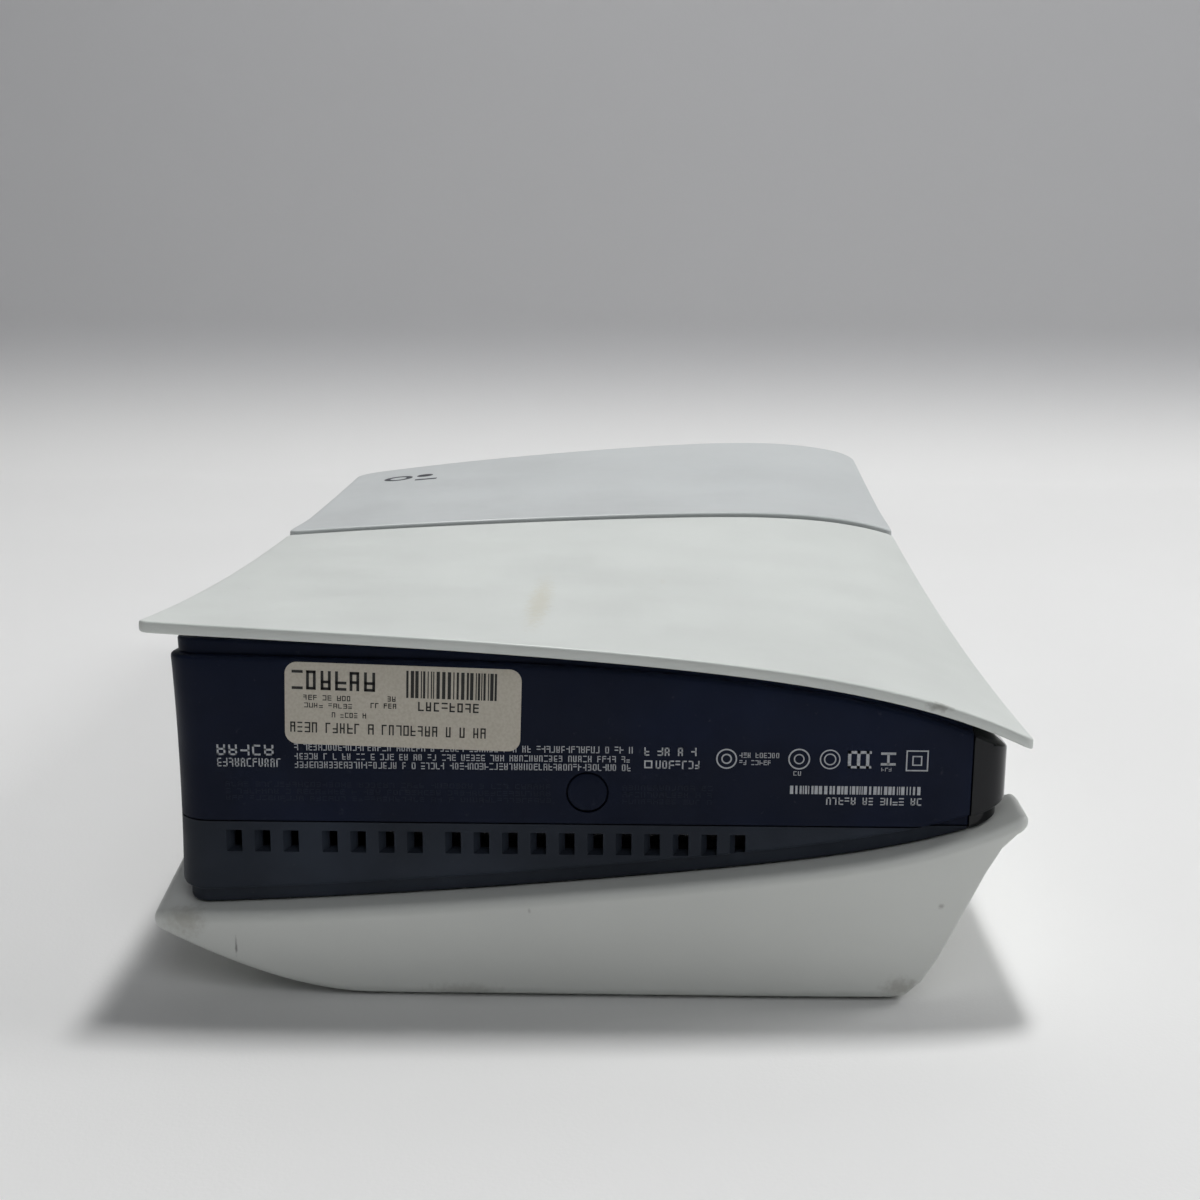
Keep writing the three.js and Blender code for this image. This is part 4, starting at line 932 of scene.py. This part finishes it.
# ---------------------------------------------------------------- heat sink and power supply
# Stamped aluminium fins on a base that three copper heat pipes run through, beside the power
# supply's vented plastic case.
dress(["heatsink"], metal("fin_aluminium", (198, 200, 202), 0.36, (1, 12, 1)))
dress([f"heat_pipe_{i}" for i in (1, 2, 3)], metal("heat_pipe_copper", (190, 116, 74), 0.3, (12, 1, 1)))
dress(["power_supply"], matt_black("supply_case_plastic", (52, 54, 58), 0.6))

# ---------------------------------------------------------------- fan
# A flat radial fan: a moulded rotor of curved blades on a hub, over its motor, in an open shroud that
# blows towards the heat sink.
fan_black = matt_black("fan_plastic", (34, 36, 40), 0.4)
rotor_low, rotor_high = extent("fan_rotor")
fan_at = middle_of("fan_rotor") * np.array([1, 1, 0])
fan_radius = (rotor_high[0] - rotor_low[0]) / 2


def fan_blade(turn):
    """One blade: an upright sheet 1.2 mm thick along an arc that leads back as it goes out, thinner
    and lower at its tip."""
    out = np.linspace(0, 1, 14)
    radius = 23.5 + (fan_radius - 25.0) * out
    angle = turn + 0.62 * out - 0.22 * out**2
    half = (0.75 - 0.25 * out) / radius
    top = rotor_high[2] - 1.6 * out**3
    low = np.full(14, rotor_low[2] + 0.7)
    sides = [(angle - half, low), (angle + half, low), (angle + half, top), (angle - half, top)]
    rows = [np.stack([radius * np.cos(a), radius * np.sin(a), z], -1) for a, z in sides]
    return closed(np.stack(rows, 1) + fan_at)


hub_top = rotor_high[2] - 1.9
rotor_dish = [(9.0, rotor_low[2]), (fan_radius, rotor_low[2]), (fan_radius, rotor_low[2] + 1.4)]
rotor_dish += [(19.4, rotor_low[2] + 1.5), (19.0, hub_top - 1.4), (17.8, hub_top), (9.0, hub_top)]
rotor_dish += [(6.0, hub_top - 0.5), (2.0, hub_top - 0.6)]
rotor_bore = [(9.0, rotor_low[2] - 1), (9.0, hub_top - 3.2)]
blade_turns = np.linspace(0, 2 * np.pi, 23, endpoint=False)
piece(
    "fan_rotor_blades",
    [lathe(rotor_dish, fan_at, 2, 72)],
    fan_black,
    "fan_rotor",
    "button",
    (),
    [[lathe(rotor_bore, fan_at)]],
)
blades = [fan_blade(turn) for turn in blade_turns]
piece("fan_blades", blades, fan_black, "fan_rotor", "button", ["fan_rotor"])
dress(["fan_motor"], steel)
dress(["fan_shroud"], matt_black("shroud_plastic", (38, 40, 44), 0.55))

# ---------------------------------------------------------------- upper housing
# The upper half of the black housing, with the fan's round intake, the storage hatch and slots for
# the covers' hooks in its top, and openings for the sockets and the warm air at the rear.
# Darker and bluer than the lower half, though both halves are one plastic: painted shade from the covers
# over the upper part of the end face, and a painted bluish reflection. The hatch and the stand screw cap
# share it.
shaded_upper_black = matt_black("upper_housing_plastic_painted_shade", (16, 23, 41), 0.46, 0.13)
guard_low, guard_high = extent("fan_guard")
guard_radius = (guard_high[0] - guard_low[0]) / 2
hatch_low, hatch_high = extent("storage_hatch")
HOOKS_MAIN = ((-150, 78), (-60, 84), (-8, 84), (-150, -74), (-40, -82), (20, -78), (-160, 20))
HOOKS_SMALL = ((32, 84), (120, 84), (160, 70), (70, -82), (130, -82), (160, -64))
HOOK = (9.0, 1.8)
HOOK_ROOM = 0.7


def hook_pockets():
    """Through slots in the housing's top, a little wider than the covers' hooks."""
    half = np.array(HOOK) / 2 + HOOK_ROOM
    return [
        block((x - half[0], y - half[1], 58), (x + half[0], y + half[1], 120))
        for x, y in HOOKS_MAIN + HOOKS_SMALL
    ]


def hatch_plan(grow):
    """The storage hatch's outline in plan, grown by a distance."""
    corners = [hatch_low[:2], (hatch_high[0], hatch_low[1]), hatch_high[:2], (hatch_low[0], hatch_high[1])]
    return outline(corners, (3 + grow,) * 4, -grow, 24, 6)


cap_low, cap_high = extent("stand_hole_cap")
cap_at = middle_of("stand_hole_cap")
cap_radius = (cap_high[1] - cap_low[1]) / 2
grille_low, grille_high = extent("exhaust_grille")
SOCKETS = ("mains_inlet", "lan_port", "hdmi_port", "usb_a_port_1", "usb_a_port_2")


def socket_openings():
    """A square hole round each rear socket, and the long one for the exhaust grille."""
    shapes = []
    for name in (*SOCKETS, "exhaust_grille"):
        low, high = extent(name)
        shapes.append(block(low - FIT, (high[0] + FIT, HOUSE_REAR + 5, high[2] + FIT)))
    return shapes


below = block((-300, -200, -50), (300, 200, PARTING + PARTING_GAP / 2))
intake = closed([ring(disc_plan(*fan_at[:2], guard_radius + 1, 96), z) for z in (54, 140)])
hatch_hole = closed([ring(hatch_plan(FIT), z) for z in (60, 140)])
cap_seat = [(cap_radius + 0.35, -2.0), (cap_radius + 0.35, 1.9)]
insert_hole = [(4.4, -1.0), (4.4, 9.0)]
seat_at = (HOUSE_NEAR, cap_at[1], cap_at[2])
piece(
    "upper_housing_half",
    [house_shape()],
    shaded_upper_black,
    "console_frame",
    "housing",
    ["upper_housing"],
    [
        [below],
        [house_hollow()],
        [drive_bay],
        [intake, hatch_hole, lathe(cap_seat, seat_at, 0), *hook_pockets()],
        [lathe(insert_hole, seat_at, 0), *socket_openings()],
    ],
)

# The hatch over the storage stick, held by one cross-head screw in its corner.
screw_at = middle_of("hatch_screw") * np.array([1, 1, 0])
hatch_under = [*shrunk(hatch_plan(0), (0.05, 0.4, 0.8)), hatch_plan(0)]
hatch_rows = [on(house_top, plan, -HOUSING_WALL) for plan in hatch_under]
hatch_rows += [on(house_top, hatch_plan(0), -0.4), on(house_top, hatch_plan(-0.15), -0.1)]
hatch_rows += [on(house_top, hatch_plan(-0.5))]
hatch_rows += [on(house_top, plan) for plan in shrunk(hatch_plan(-0.5), (0.96, 0.8, 0.4, 0.05))]
screw_hole = closed([ring(disc_plan(*screw_at[:2], 1.9, 32), z) for z in (60, 120)])
piece(
    "storage_hatch_lid",
    [closed(hatch_rows)],
    shaded_upper_black,
    "console_frame",
    "housing",
    ["storage_hatch"],
    [[screw_hole]],
)
screw_low, screw_high = extent("hatch_screw")
screw_top = screw_high[2]
screw_profile = [(0.9, screw_low[2]), (0.9, screw_top - 1.6), (1.55, screw_top - 1.3)]
screw_profile += [(1.6, screw_top - 0.4), (1.3, screw_top - 0.1), (0.5, screw_top)]
cross = [
    block((*(screw_at[:2] - half), screw_top - 0.9), (*(screw_at[:2] + half), screw_top + 1))
    for half in (np.array([1.0, 0.22]), np.array([0.22, 1.0]))
]
piece(
    "hatch_screw_head",
    [lathe(screw_profile, screw_at, 2, 32)],
    polished,
    "console_frame",
    "steel",
    ["hatch_screw"],
    [[cross[0]], [cross[1]]],
)

# The guard moulded over the fan's intake: three round bars joined by curved spokes.
def guard_ring(radius):
    """A bar 2.2 mm wide with round edges, once round the fan's axis."""
    turn = np.linspace(0, 2 * np.pi, 10, endpoint=False)
    low, high = guard_low[2], guard_high[2]
    middle, half = (low + high) / 2, (high - low) / 2
    section = [(radius - 1.2 + 1.15 * np.cos(a), middle + half * np.sin(a)) for a in turn]
    angle = np.linspace(0, 2 * np.pi, 96, endpoint=False)
    rows = [np.stack([r * np.cos(angle), r * np.sin(angle), np.full(96, z)], -1) for r, z in section]
    return closed(np.array(rows) + fan_at, wraps=True)


def guard_spoke(turn):
    """A thin bar from near the middle to the outer ring along a spiral, oval in section."""
    out = np.linspace(0, 1, 18)
    radius = 16 + (guard_radius - 17.5) * out
    angle = turn + 0.5 * out
    side = np.stack([-np.sin(angle), np.cos(angle), 0 * angle], -1)
    height = np.full(18, middle_of("fan_guard")[2])
    line = np.stack([radius * np.cos(angle), radius * np.sin(angle), height], -1)
    around = np.linspace(0, 2 * np.pi, 8, endpoint=False)[:, None, None]
    rows = line + np.cos(around) * side * 0.9 + np.sin(around) * np.array([0, 0, 0.62])
    return closed(rows.transpose(1, 0, 2) + fan_at)


guard_shapes = [guard_ring(guard_radius * share) for share in (1, 0.68, 0.36)]
guard_shapes += [guard_spoke(turn) for turn in np.linspace(0, 2 * np.pi, 9, endpoint=False)]
piece("fan_guard_bars", guard_shapes, fan_black, "console_frame", "housing", ["fan_guard"])

# ---------------------------------------------------------------- rear sockets and grille
# Plated steel sockets and the moulded mains inlet in the rear face, and the upright fins that the
# warm air leaves through.
socket_plating = metal("socket_plating", (186, 187, 188), 0.3)
dress(["lan_port", "hdmi_port", "usb_a_port_1", "usb_a_port_2"], socket_plating)
dress(["mains_inlet"], matt_black("inlet_plastic", (22, 23, 26), 0.5))
dress(["exhaust_grille"], matt_black("grille_plastic", (24, 26, 30), 0.52))

# ---------------------------------------------------------------- stand screw cap
# A round push-in cap over the threaded brass insert that an upright stand screws into, with a notch
# for a fingernail.
cap_face = cap_low[0]
cap_profile = [(cap_radius - 0.25, 1.6), (cap_radius - 0.05, 1.4), (cap_radius - 0.05, 0.35)]
cap_profile += [(cap_radius - 0.18, 0.1), (cap_radius - 0.4, 0.0), (cap_radius * 0.5, 0.06), (0.4, 0.08)]
notch = block((cap_face - 1, -0.9, cap_low[2] - 1), (cap_face + 0.5, 0.9, cap_low[2] + 0.55))
piece(
    "stand_screw_cap",
    [lathe(cap_profile, (cap_face, cap_at[1], cap_at[2]), 0, 72)],
    shaded_upper_black,
    "stand_hole_cap",
    "housing",
    ["stand_hole_cap"],
    [[notch]],
)
dress(["stand_thread_insert"], brass)

# ---------------------------------------------------------------- front trim
# The glossy black strip across the front, wrapped round both ends, with a sloping top that tucks
# under the upper covers. It is snapped to the housing and carries the buttons and two sockets.
TRIM_FRONT = extent("front_trim")[0][1]
TRIM_REAR = extent("front_trim")[1][1]
FACET = 4.4  # width of the sloping band along the trim's top
EDGE_DROP = 1.6  # how far it slopes down


def trim_plan(inset, back_in=0.0):
    """The trim's outline: its front and ends move in by one distance, and its back by another."""
    near, far, front = HOUSE_NEAR + inset, HOUSE_FAR - inset, TRIM_FRONT + inset
    corners = [(near, front), (far, front), (far, TRIM_REAR - back_in), (near, TRIM_REAR - back_in)]
    round_by = max(7.5 - inset, 2.0)
    return outline(corners, (round_by, round_by, 0.3, 0.3), 0, 70, 12)


def trim_shape():
    """Rings from the underside's middle out, up the foot, out to the upright face, up it, round its
    edge and in over the sloping facet."""
    flat = [trim_plan(FACET, 0.6), *shrunk(trim_plan(FACET, 0.6), (0.98, 0.6, 0.2, 0.03))]
    rows = [on(house_low, plan) for plan in flat[::-1]]
    rows += [on(house_low, trim_plan(STEP_IN + 0.5, 0.3)), on(house_low, trim_plan(STEP_IN), 0.5)]
    rows += [on(house_low, trim_plan(STEP_IN), STEP_HEIGHT - 0.2)]
    rows += [on(house_low, trim_plan(0.2), STEP_HEIGHT)]
    foot = on(house_low, trim_plan(0), STEP_HEIGHT + 0.25)
    head = on(house_top, trim_plan(0), -EDGE_DROP - 0.35)
    rows += [foot + (head - foot) * share for share in np.linspace(0, 1, 10)]
    rows += [on(house_top, trim_plan(0.12), -EDGE_DROP - 0.12)]
    rows += [on(house_top, trim_plan(0.4), -EDGE_DROP + 0.1)]
    for share in (0.3, 0.6, 0.9):
        rows.append(on(house_top, trim_plan(FACET * share), -EDGE_DROP * (1 - share)))
    rows += [on(house_top, plan) for plan in flat]
    return closed(rows)


def trim_hollow():
    """The room behind the trim's face, open at its back."""
    inset = STEP_IN + HOUSING_WALL
    near, far, front = HOUSE_NEAR + inset, HOUSE_FAR - inset, TRIM_FRONT + inset
    corners = [(near, front), (far, front), (far, TRIM_REAR + 6), (near, TRIM_REAR + 6)]
    plan = outline(corners, (3, 3, 0.5, 0.5), 0, 60, 6)
    rows = [on(house_low, each, HOUSING_WALL) for each in shrunk(plan, (0.05, 0.6, 1.0))]
    rows += [on(house_top, each, -HOUSING_WALL) for each in shrunk(plan, (1.0, 0.6, 0.05))]
    return closed(rows)


def pill_cutter(name, grow):
    """A hole through the trim's face round a button or a socket: straight, with a flared mouth."""
    low, high = extent(name)
    if "button" in name:
        low, high = low + np.array([0.9, 0, 0.9]), high - np.array([0.9, 0, 0.9])
    radius = (high[2] - low[2]) / 2
    rows = []
    mouth = ((grow + 0.5, TRIM_FRONT - 1), (grow + 0.5, TRIM_FRONT - 0.01))
    for more, y in (*mouth, (grow, TRIM_FRONT + 0.5), (grow, -80)):
        plan = upright_plan(low[[0, 2]] - more, high[[0, 2]] + more, radius + more, 10, 10)
        rows.append(facing_front(plan, y))
    return closed(rows)


bezel_notch = block(
    (bezel_low[0] - FIT, TRIM_FRONT - 20, -10), (bezel_high[0] + FIT, TRIM_REAR + 20, bezel_high[2] + FIT)
)
SLIT_AT = (-95.6, 70.2)  # the slit's rear lower corner, across and up
SLIT_SIDES = np.array([(0.0, 0.0), (-4.0, -3.2), (-4.8, -2.6), (-1.0, 1.2)])


def corner_slit():
    """A thin slanted slit in the trim's near front corner, open where the corner has curved in."""
    section = SLIT_SIDES + np.array(SLIT_AT)
    return closed([np.column_stack([np.full(4, HOUSE_NEAR + deep), section]) for deep in (0.6, 2.6)])


usb_holes = [pill_cutter(f"usb_c_port_{i}", 0.25) for i in (1, 2)]
button_holes = [pill_cutter(f"{name}_button", 0.35) for name in ("power", "eject")]
piece(
    "front_trim_strip",
    [trim_shape()],
    trim_gloss,
    "console_frame",
    "trim",
    ["front_trim"],
    [[trim_hollow()], [bezel_notch], [*usb_holes, *button_holes], [corner_slit()]],
    28.0,
)
dress(["usb_c_port_1", "usb_c_port_2"], metal("usb_plating", (172, 173, 175), 0.26))

# Two pill-shaped buttons with a satin face, slightly dished, and a flange behind the trim that keeps
# them in.
button_satin = matt_black("button_plastic", (34, 35, 40), 0.3)


def pill_button(name):
    """Rings along Y: the flange, the shank, a round front edge, and a face that dips 0.15 mm."""
    low, high = extent(f"{name}_button")
    inner_low, inner_high = low[[0, 2]] + 0.9, high[[0, 2]] - 0.9
    radius = (inner_high[1] - inner_low[1]) / 2
    flange = high[1] - 2.6
    steps = [(0.9, high[1]), (0.9, flange), (0.0, flange), (0.0, low[1] + 0.5), (-0.07, low[1] + 0.2)]
    steps += [(-0.25, low[1] + 0.04), (-0.5, low[1])]
    rows = []
    for grow, y in steps:
        plan = upright_plan(inner_low - grow, inner_high + grow, radius + grow, 14, 12)
        rows.append(facing_front(plan, y))
    face = rows[-1]
    middle = face.mean(0)
    for share in (0.8, 0.5, 0.2):
        rows.append(middle + (face - middle) * share + np.array([0, 0.15 * (1 - share**2), 0]))
    return closed(rows)


for name in ("power", "eject"):
    button_name = f"{name}_button"
    piece(f"{button_name}_cap", [pill_button(name)], button_satin, button_name, "button", [button_name])

# ---------------------------------------------------------------- print and label on the stand end
# Pale grey pad-printed lines and marks that say nothing, and a paper price label stuck on a little
# askew.
def plates(spans, proud, start=0.0, turn=None):
    """Thin rectangles on the end face. A span is where one starts and ends from the rear edge, and
    its low and high edge. A turn function moves points given as across and up."""
    spans = np.array(spans, float).reshape(-1, 4)
    across = spans[:, [0, 1, 1, 0]]
    up = spans[:, [2, 2, 3, 3]]
    if turn:
        across, up = turn(across, up)
    face = np.stack([np.full_like(across, HOUSE_NEAR - start), REAR - across, up], -1)
    front = face - np.array([proud, 0, 0])
    points = np.concatenate([face, front], 1).reshape(-1, 3)
    box = np.array([[4, 7, 6, 5], [0, 4, 5, 1], [1, 5, 6, 2], [2, 6, 7, 3], [3, 7, 4, 0]])
    faces = np.arange(len(spans))[:, None, None] * 8 + np.concatenate([box, [[0, 1, 2, 3]]])
    return points, faces.reshape(-1, 4).tolist()


def word_bars(left, right, low, high, seed, wide=1.25):
    """A line of print: cells drawn at random, each with two to four bars of a box and its middle, and
    a gap every few cells. No cell is meant as a letter, but some look like one by chance."""
    draw = np.random.default_rng(seed)
    stroke = min(0.2 * wide, 0.17 * (high - low))
    spans = []
    start = left
    while start + wide < right:
        end = start + wide * draw.uniform(0.66, 0.8)
        middle = low + (high - low) * draw.uniform(0.4, 0.6)
        bars = [
            (start, start + stroke, low, high),
            (end - stroke, end, low, high),
            (start, end, high - stroke, high),
            (start, end, middle - stroke / 2, middle + stroke / 2),
            (start, end, low, low + stroke),
        ]
        kept = draw.permutation(5)[: draw.integers(2, 5)]
        spans += [bars[index] for index in kept]
        start += wide * (1.9 if draw.random() < 0.16 else 1.0)
    return spans


def stripes(left, right, low, high, seed, finest):
    """Upright stripes of one, two or three times the finest width, with gaps alike."""
    draw = np.random.default_rng(seed)
    count = int((right - left) / finest)
    widths = draw.integers(1, 4, count) * finest
    gaps = draw.integers(1, 3, count) * finest
    starts = left + np.cumsum(widths + gaps) - widths - gaps
    spans = np.stack([starts, starts + widths, np.full(count, low), np.full(count, high)], -1)
    return spans[spans[:, 1] <= right].tolist()


def hoop(across, up, outer, inner, proud):
    """A flat ring on the end face: a square section carried round a circle."""
    angle = np.linspace(0, 2 * np.pi, 48, endpoint=False)
    rows = []
    for radius, x in ((outer, 0.0), (outer, proud), (inner, proud), (inner, 0.0)):
        y = REAR - across - radius * np.cos(angle)
        rows.append(np.stack([np.full(48, HOUSE_NEAR - x), y, up + radius * np.sin(angle)], -1))
    return closed(rows, wraps=True)


def frame_bars(left, right, low, high, line):
    """The four bars of a rectangle's outline."""
    return [
        (left, right, low, low + line),
        (left, right, high - line, high),
        (left, left + line, low + line, high - line),
        (right - line, right, low + line, high - line),
    ]


def print_ink(name, colour, coverage):
    """Thin matt ink that lets the grain show: its colour breaks up a little where it is worn."""
    made = new_material(name, Roughness=0.55)
    worn = fade(made, noise(made, 1300.0, 3.0), 0.5, 0.68, 0.0, 1.0 - coverage)
    set_shader(made, Base_Color=blend_colours(made, worn, srgb(*colour), srgb(30, 33, 40)))
    relief(made, noise(made, 1900.0, 2.0), 0.00002, 0.4)
    return made


PRINT = 0.03  # thickness of the ink
# Lines of print: start and end from the rear edge, low and high edge, seed, and width of a cell.
PRINT_LINES = (
    (17.6, 34.4, 61.2, 63.9, 1, 2.9),
    (17.6, 34.6, 58.3, 60.5, 2, 1.45),
    (36.6, 119.4, 62.6, 64.3, 10, 1.2),
    (36.6, 119.4, 60.3, 61.9, 11, 1.2),
    (36.6, 119.4, 58.1, 59.8, 12, 1.2),
    (121.8, 136.0, 62.1, 64.2, 20, 1.7),
    (124.6, 136.0, 58.8, 60.9, 21, 1.6),
    (144.9, 154.9, 61.8, 63.1, 22, 1.0),
    (144.9, 153.0, 60.0, 61.2, 23, 1.0),
    (158.1, 160.9, 57.4, 58.5, 24, 1.1),
    (179.4, 182.9, 58.7, 59.6, 25, 0.9),
    (166.3, 190.2, 50.0, 51.9, 27, 1.5),
)
print_spans = [span for line in PRINT_LINES for span in word_bars(*line)]
print_spans += stripes(157.4, 190.3, 52.7, 54.8, 26, 0.26)
# Three small square frames, a comb of three bars between two rails, and a bar between two rails.
print_spans += frame_bars(121.8, 123.8, 58.9, 60.9, 0.35)
print_spans += frame_bars(185.3, 190.7, 58.8, 64.1, 0.32) + frame_bars(186.8, 189.2, 60.2, 62.7, 0.3)
print_spans += [(left, left + 0.8, 59.4, 63.8) for left in (171.2, 173.4, 175.6)]
print_spans += [(171.2, 176.9, 63.1, 63.8), (171.2, 176.9, 59.4, 60.0)]
print_spans += [(179.2, 182.8, 62.9, 63.5), (180.7, 181.3, 60.4, 63.2), (179.2, 182.8, 60.2, 60.8)]
# Three pairs of rings, each a distance from the rear, a height, and the two rings' radii.
PRINTED_RINGS = (
    (141.8, 61.5, ((2.55, 2.2), (1.3, 0.95))),
    (159.4, 61.6, ((2.65, 2.3), (1.3, 1.0))),
    (166.9, 61.6, ((2.5, 2.2), (1.5, 1.2))),
)
hoops = [hoop(across, up, *pair, PRINT) for across, up, pairs in PRINTED_RINGS for pair in pairs]
piece(
    "printed_marks",
    [plates(print_spans, PRINT), *hoops],
    print_ink("pale_print", (186, 189, 194), 0.8),
    "console_frame",
    "housing",
)
faint_spans = []
for seed, (low, high) in enumerate(((53.2, 54.5), (51.4, 52.7), (49.7, 50.9))):
    faint_spans += word_bars(19.4, 100.0, low, high, 30 + seed, 1.5)
    faint_spans += word_bars(116.6, 140.2, low, high, 40 + seed, 1.5)
piece(
    "moulded_marks",
    [plates(faint_spans, PRINT)],
    matt_black("moulded_mark_plastic", (24, 31, 48), 0.4, 0.2),
    "console_frame",
    "housing",
)

LABEL_HALF = (28.6, 10.3)
LABEL_AT = (63.3, 73.9)
LABEL_TURN = math.radians(1.6)
LABEL_THICK = 0.12


def label_turn(across, up):
    """Turns points of the label, given from its middle, clockwise by a small angle, then moves them."""
    turned = LABEL_AT[0] + across * math.cos(LABEL_TURN) + up * math.sin(LABEL_TURN)
    return turned, LABEL_AT[1] - across * math.sin(LABEL_TURN) + up * math.cos(LABEL_TURN)


def label_ring(inset, proud):
    """The label's rounded outline at a distance from the end face."""
    half = np.array(LABEL_HALF) - inset
    across, up = label_turn(*upright_plan(-half, half, 3.0 - inset, 20, 10).T)
    return np.stack([np.full_like(across, HOUSE_NEAR - proud), REAR - across, up], -1)


def label_paper():
    """Uncoated paper gone cream: soft fibres, a little grime in patches."""
    made = new_material("label_paper", Roughness=0.62)
    fibres = fade(made, noise(made, 1500.0, 4.0), 0.35, 0.7)
    paper = blend_colours(made, fibres, srgb(203, 197, 184), srgb(194, 187, 173))
    stain = fade(made, noise(made, 90.0, 3.0), 0.6, 0.78, 0.0, 0.35)
    set_shader(made, Base_Color=blend_colours(made, stain, paper, srgb(168, 158, 140)))
    relief(made, noise(made, 1500.0, 4.0), 0.00003, 0.6)
    return made


label_rows = [label_ring(0, 0.01), label_ring(0, LABEL_THICK), label_ring(0.1, LABEL_THICK + 0.02)]
piece("paper_label", [closed(label_rows)], label_paper(), "console_frame", "cover")
left, top = -LABEL_HALF[0], LABEL_HALF[1]
label_spans = stripes(left + 29.4, left + 51.5, top - 8.0, top - 1.2, 51, 0.27)
label_lines = (
    (1.7, 23.7, 6.8, 2.0, 50, 3.5),
    (32.3, 48.9, 11.2, 8.9, 52, 1.9),
    (4.5, 16.6, 9.4, 8.1, 53, 1.2),
    (24.9, 28.0, 9.1, 7.8, 54, 1.1),
    (4.7, 17.0, 11.3, 10.1, 55, 1.2),
    (20.8, 27.8, 10.9, 9.6, 56, 1.1),
    (11.4, 20.9, 13.6, 12.3, 57, 1.1),
    (1.3, 49.9, 17.6, 15.0, 58, 1.75),
)
for start, end, low, high, seed, wide in label_lines:
    label_spans += word_bars(left + start, left + end, top - low, top - high, seed, wide)
piece(
    "label_print",
    [plates(label_spans, 0.02, LABEL_THICK + 0.03, label_turn)],
    print_ink("label_ink", (34, 33, 33), 0.9),
    "console_frame",
    "housing",
)

# ---------------------------------------------------------------- upper covers
# Two crowned shells of the same white plastic, held by hooks that drop into slots in the housing.
# They lift off by hand, the small one first. A rib inside each keeps it stiff.
SEAM_STEP = 1.2  # how far the small cover stands proud at the seam


def upper_skin(x, y):
    """The upper covers' outer face: the crown over the middle plane."""
    return MIDDLE + crown(x, y)


def proud_skin(x, y):
    """The small cover's outer face: the crown, standing a little proud of the main cover at the seam."""
    return upper_skin(x, y) + SEAM_STEP * (1 - smooth((x - seam_at(y)) / 45))


def stiffening_rib(plan_at, inset, skin):
    """A rib under a cover, all the way round: a section 1.4 wide and 0.9 deep carried along the plan."""
    inner, outer = plan_at(inset + 1.4), plan_at(inset)
    high, low = -COVER_WALL + 0.1, -COVER_WALL - 0.8
    return closed(
        [
            on(skin, outer, high),
            on(skin, outer, low + 0.3),
            on(skin, outer + (inner - outer) * 0.25, low),
            on(skin, outer + (inner - outer) * 0.75, low),
            on(skin, inner, low + 0.3),
            on(skin, inner, high),
        ],
        wraps=True,
    )


def cover_hooks(places, skin):
    """Tongues under a cover, round-cornered in plan, that narrow towards their ends."""
    shapes = []
    for x, y in places:
        half = np.array(HOOK) / 2
        plans = []
        for shrink in (0.0, 0.0, 0.25):
            low, high = np.array([x, y]) - half + shrink, np.array([x, y]) + half - shrink
            plans.append(outline([low, (high[0], low[1]), high, (low[0], high[1])], (0.5,) * 4, 0, 3, 4))
        drops = (-COVER_WALL + 0.15, -COVER_WALL - 4.6, -COVER_WALL - 5.6)
        shapes.append(closed([on(skin, plan, drop) for plan, drop in zip(plans, drops)]))
    return shapes


# Marks on the top, given in the same way: a long yellow stain, a nick at the corner, a pale smear.
TOP_MARKS = (
    ((-0.115, 0.0145, 0.0850), (0.085, 1.0, 0.0), 0.0050, 0.30, (190, 178, 138)),
    ((-0.1780, -0.0840, 0.0765), (1.0, 0.4, 1.0), 0.0022, 0.55, (104, 98, 90)),
    ((-0.0700, -0.0200, 0.0850), (0.5, 2.0, 0.0), 0.0030, 0.10, (190, 178, 150)),
)
top_white = cover_plastic("upper_cover_plastic", (220, 224, 220), 0.36, TOP_MARKS)
piece(
    "upper_main_cover_shell",
    [
        crowned_shell(main_plan, upper_skin, 1),
        stiffening_rib(main_plan, 14, upper_skin),
        *cover_hooks(HOOKS_MAIN, upper_skin),
    ],
    top_white,
    "upper_cover_main",
    "cover",
    ["upper_cover_main"],
)
piece(
    "upper_small_cover_shell",
    [
        crowned_shell(small_plan, proud_skin, 1),
        stiffening_rib(small_plan, 12, proud_skin),
        *cover_hooks(HOOKS_SMALL, proud_skin),
    ],
    small_white,
    "upper_cover_small",
    "cover",
    ["upper_cover_small"],
)

# A small printed mark near the far rear corner, of plain shapes: a ring, a dot and a short line.
def thin_patch(plan):
    """A flat patch on the small cover: its outline from just inside the skin to just over it."""
    return closed([on(proud_skin, plan, -0.1), on(proud_skin, plan, 0.03)])


def skin_ring(x, y, outer, inner):
    """A ring on the small cover: a thin square section carried round a circle."""
    sections = ((outer, -0.1), (outer, 0.03), (inner, 0.03), (inner, -0.1))
    return closed([on(proud_skin, disc_plan(x, y, radius), lift) for radius, lift in sections], wraps=True)


line_plan = np.array([(138.0, 70.0), (141.0, 70.0), (141.0, 79.0), (138.0, 79.0)])
piece(
    "cover_corner_mark",
    [skin_ring(148, 87, 6.0, 3.4), thin_patch(disc_plan(150, 76, 3.4)), thin_patch(line_plan)],
    matt_black("mark_ink", (44, 46, 52), 0.5),
    "upper_cover_small",
    "cover",
)
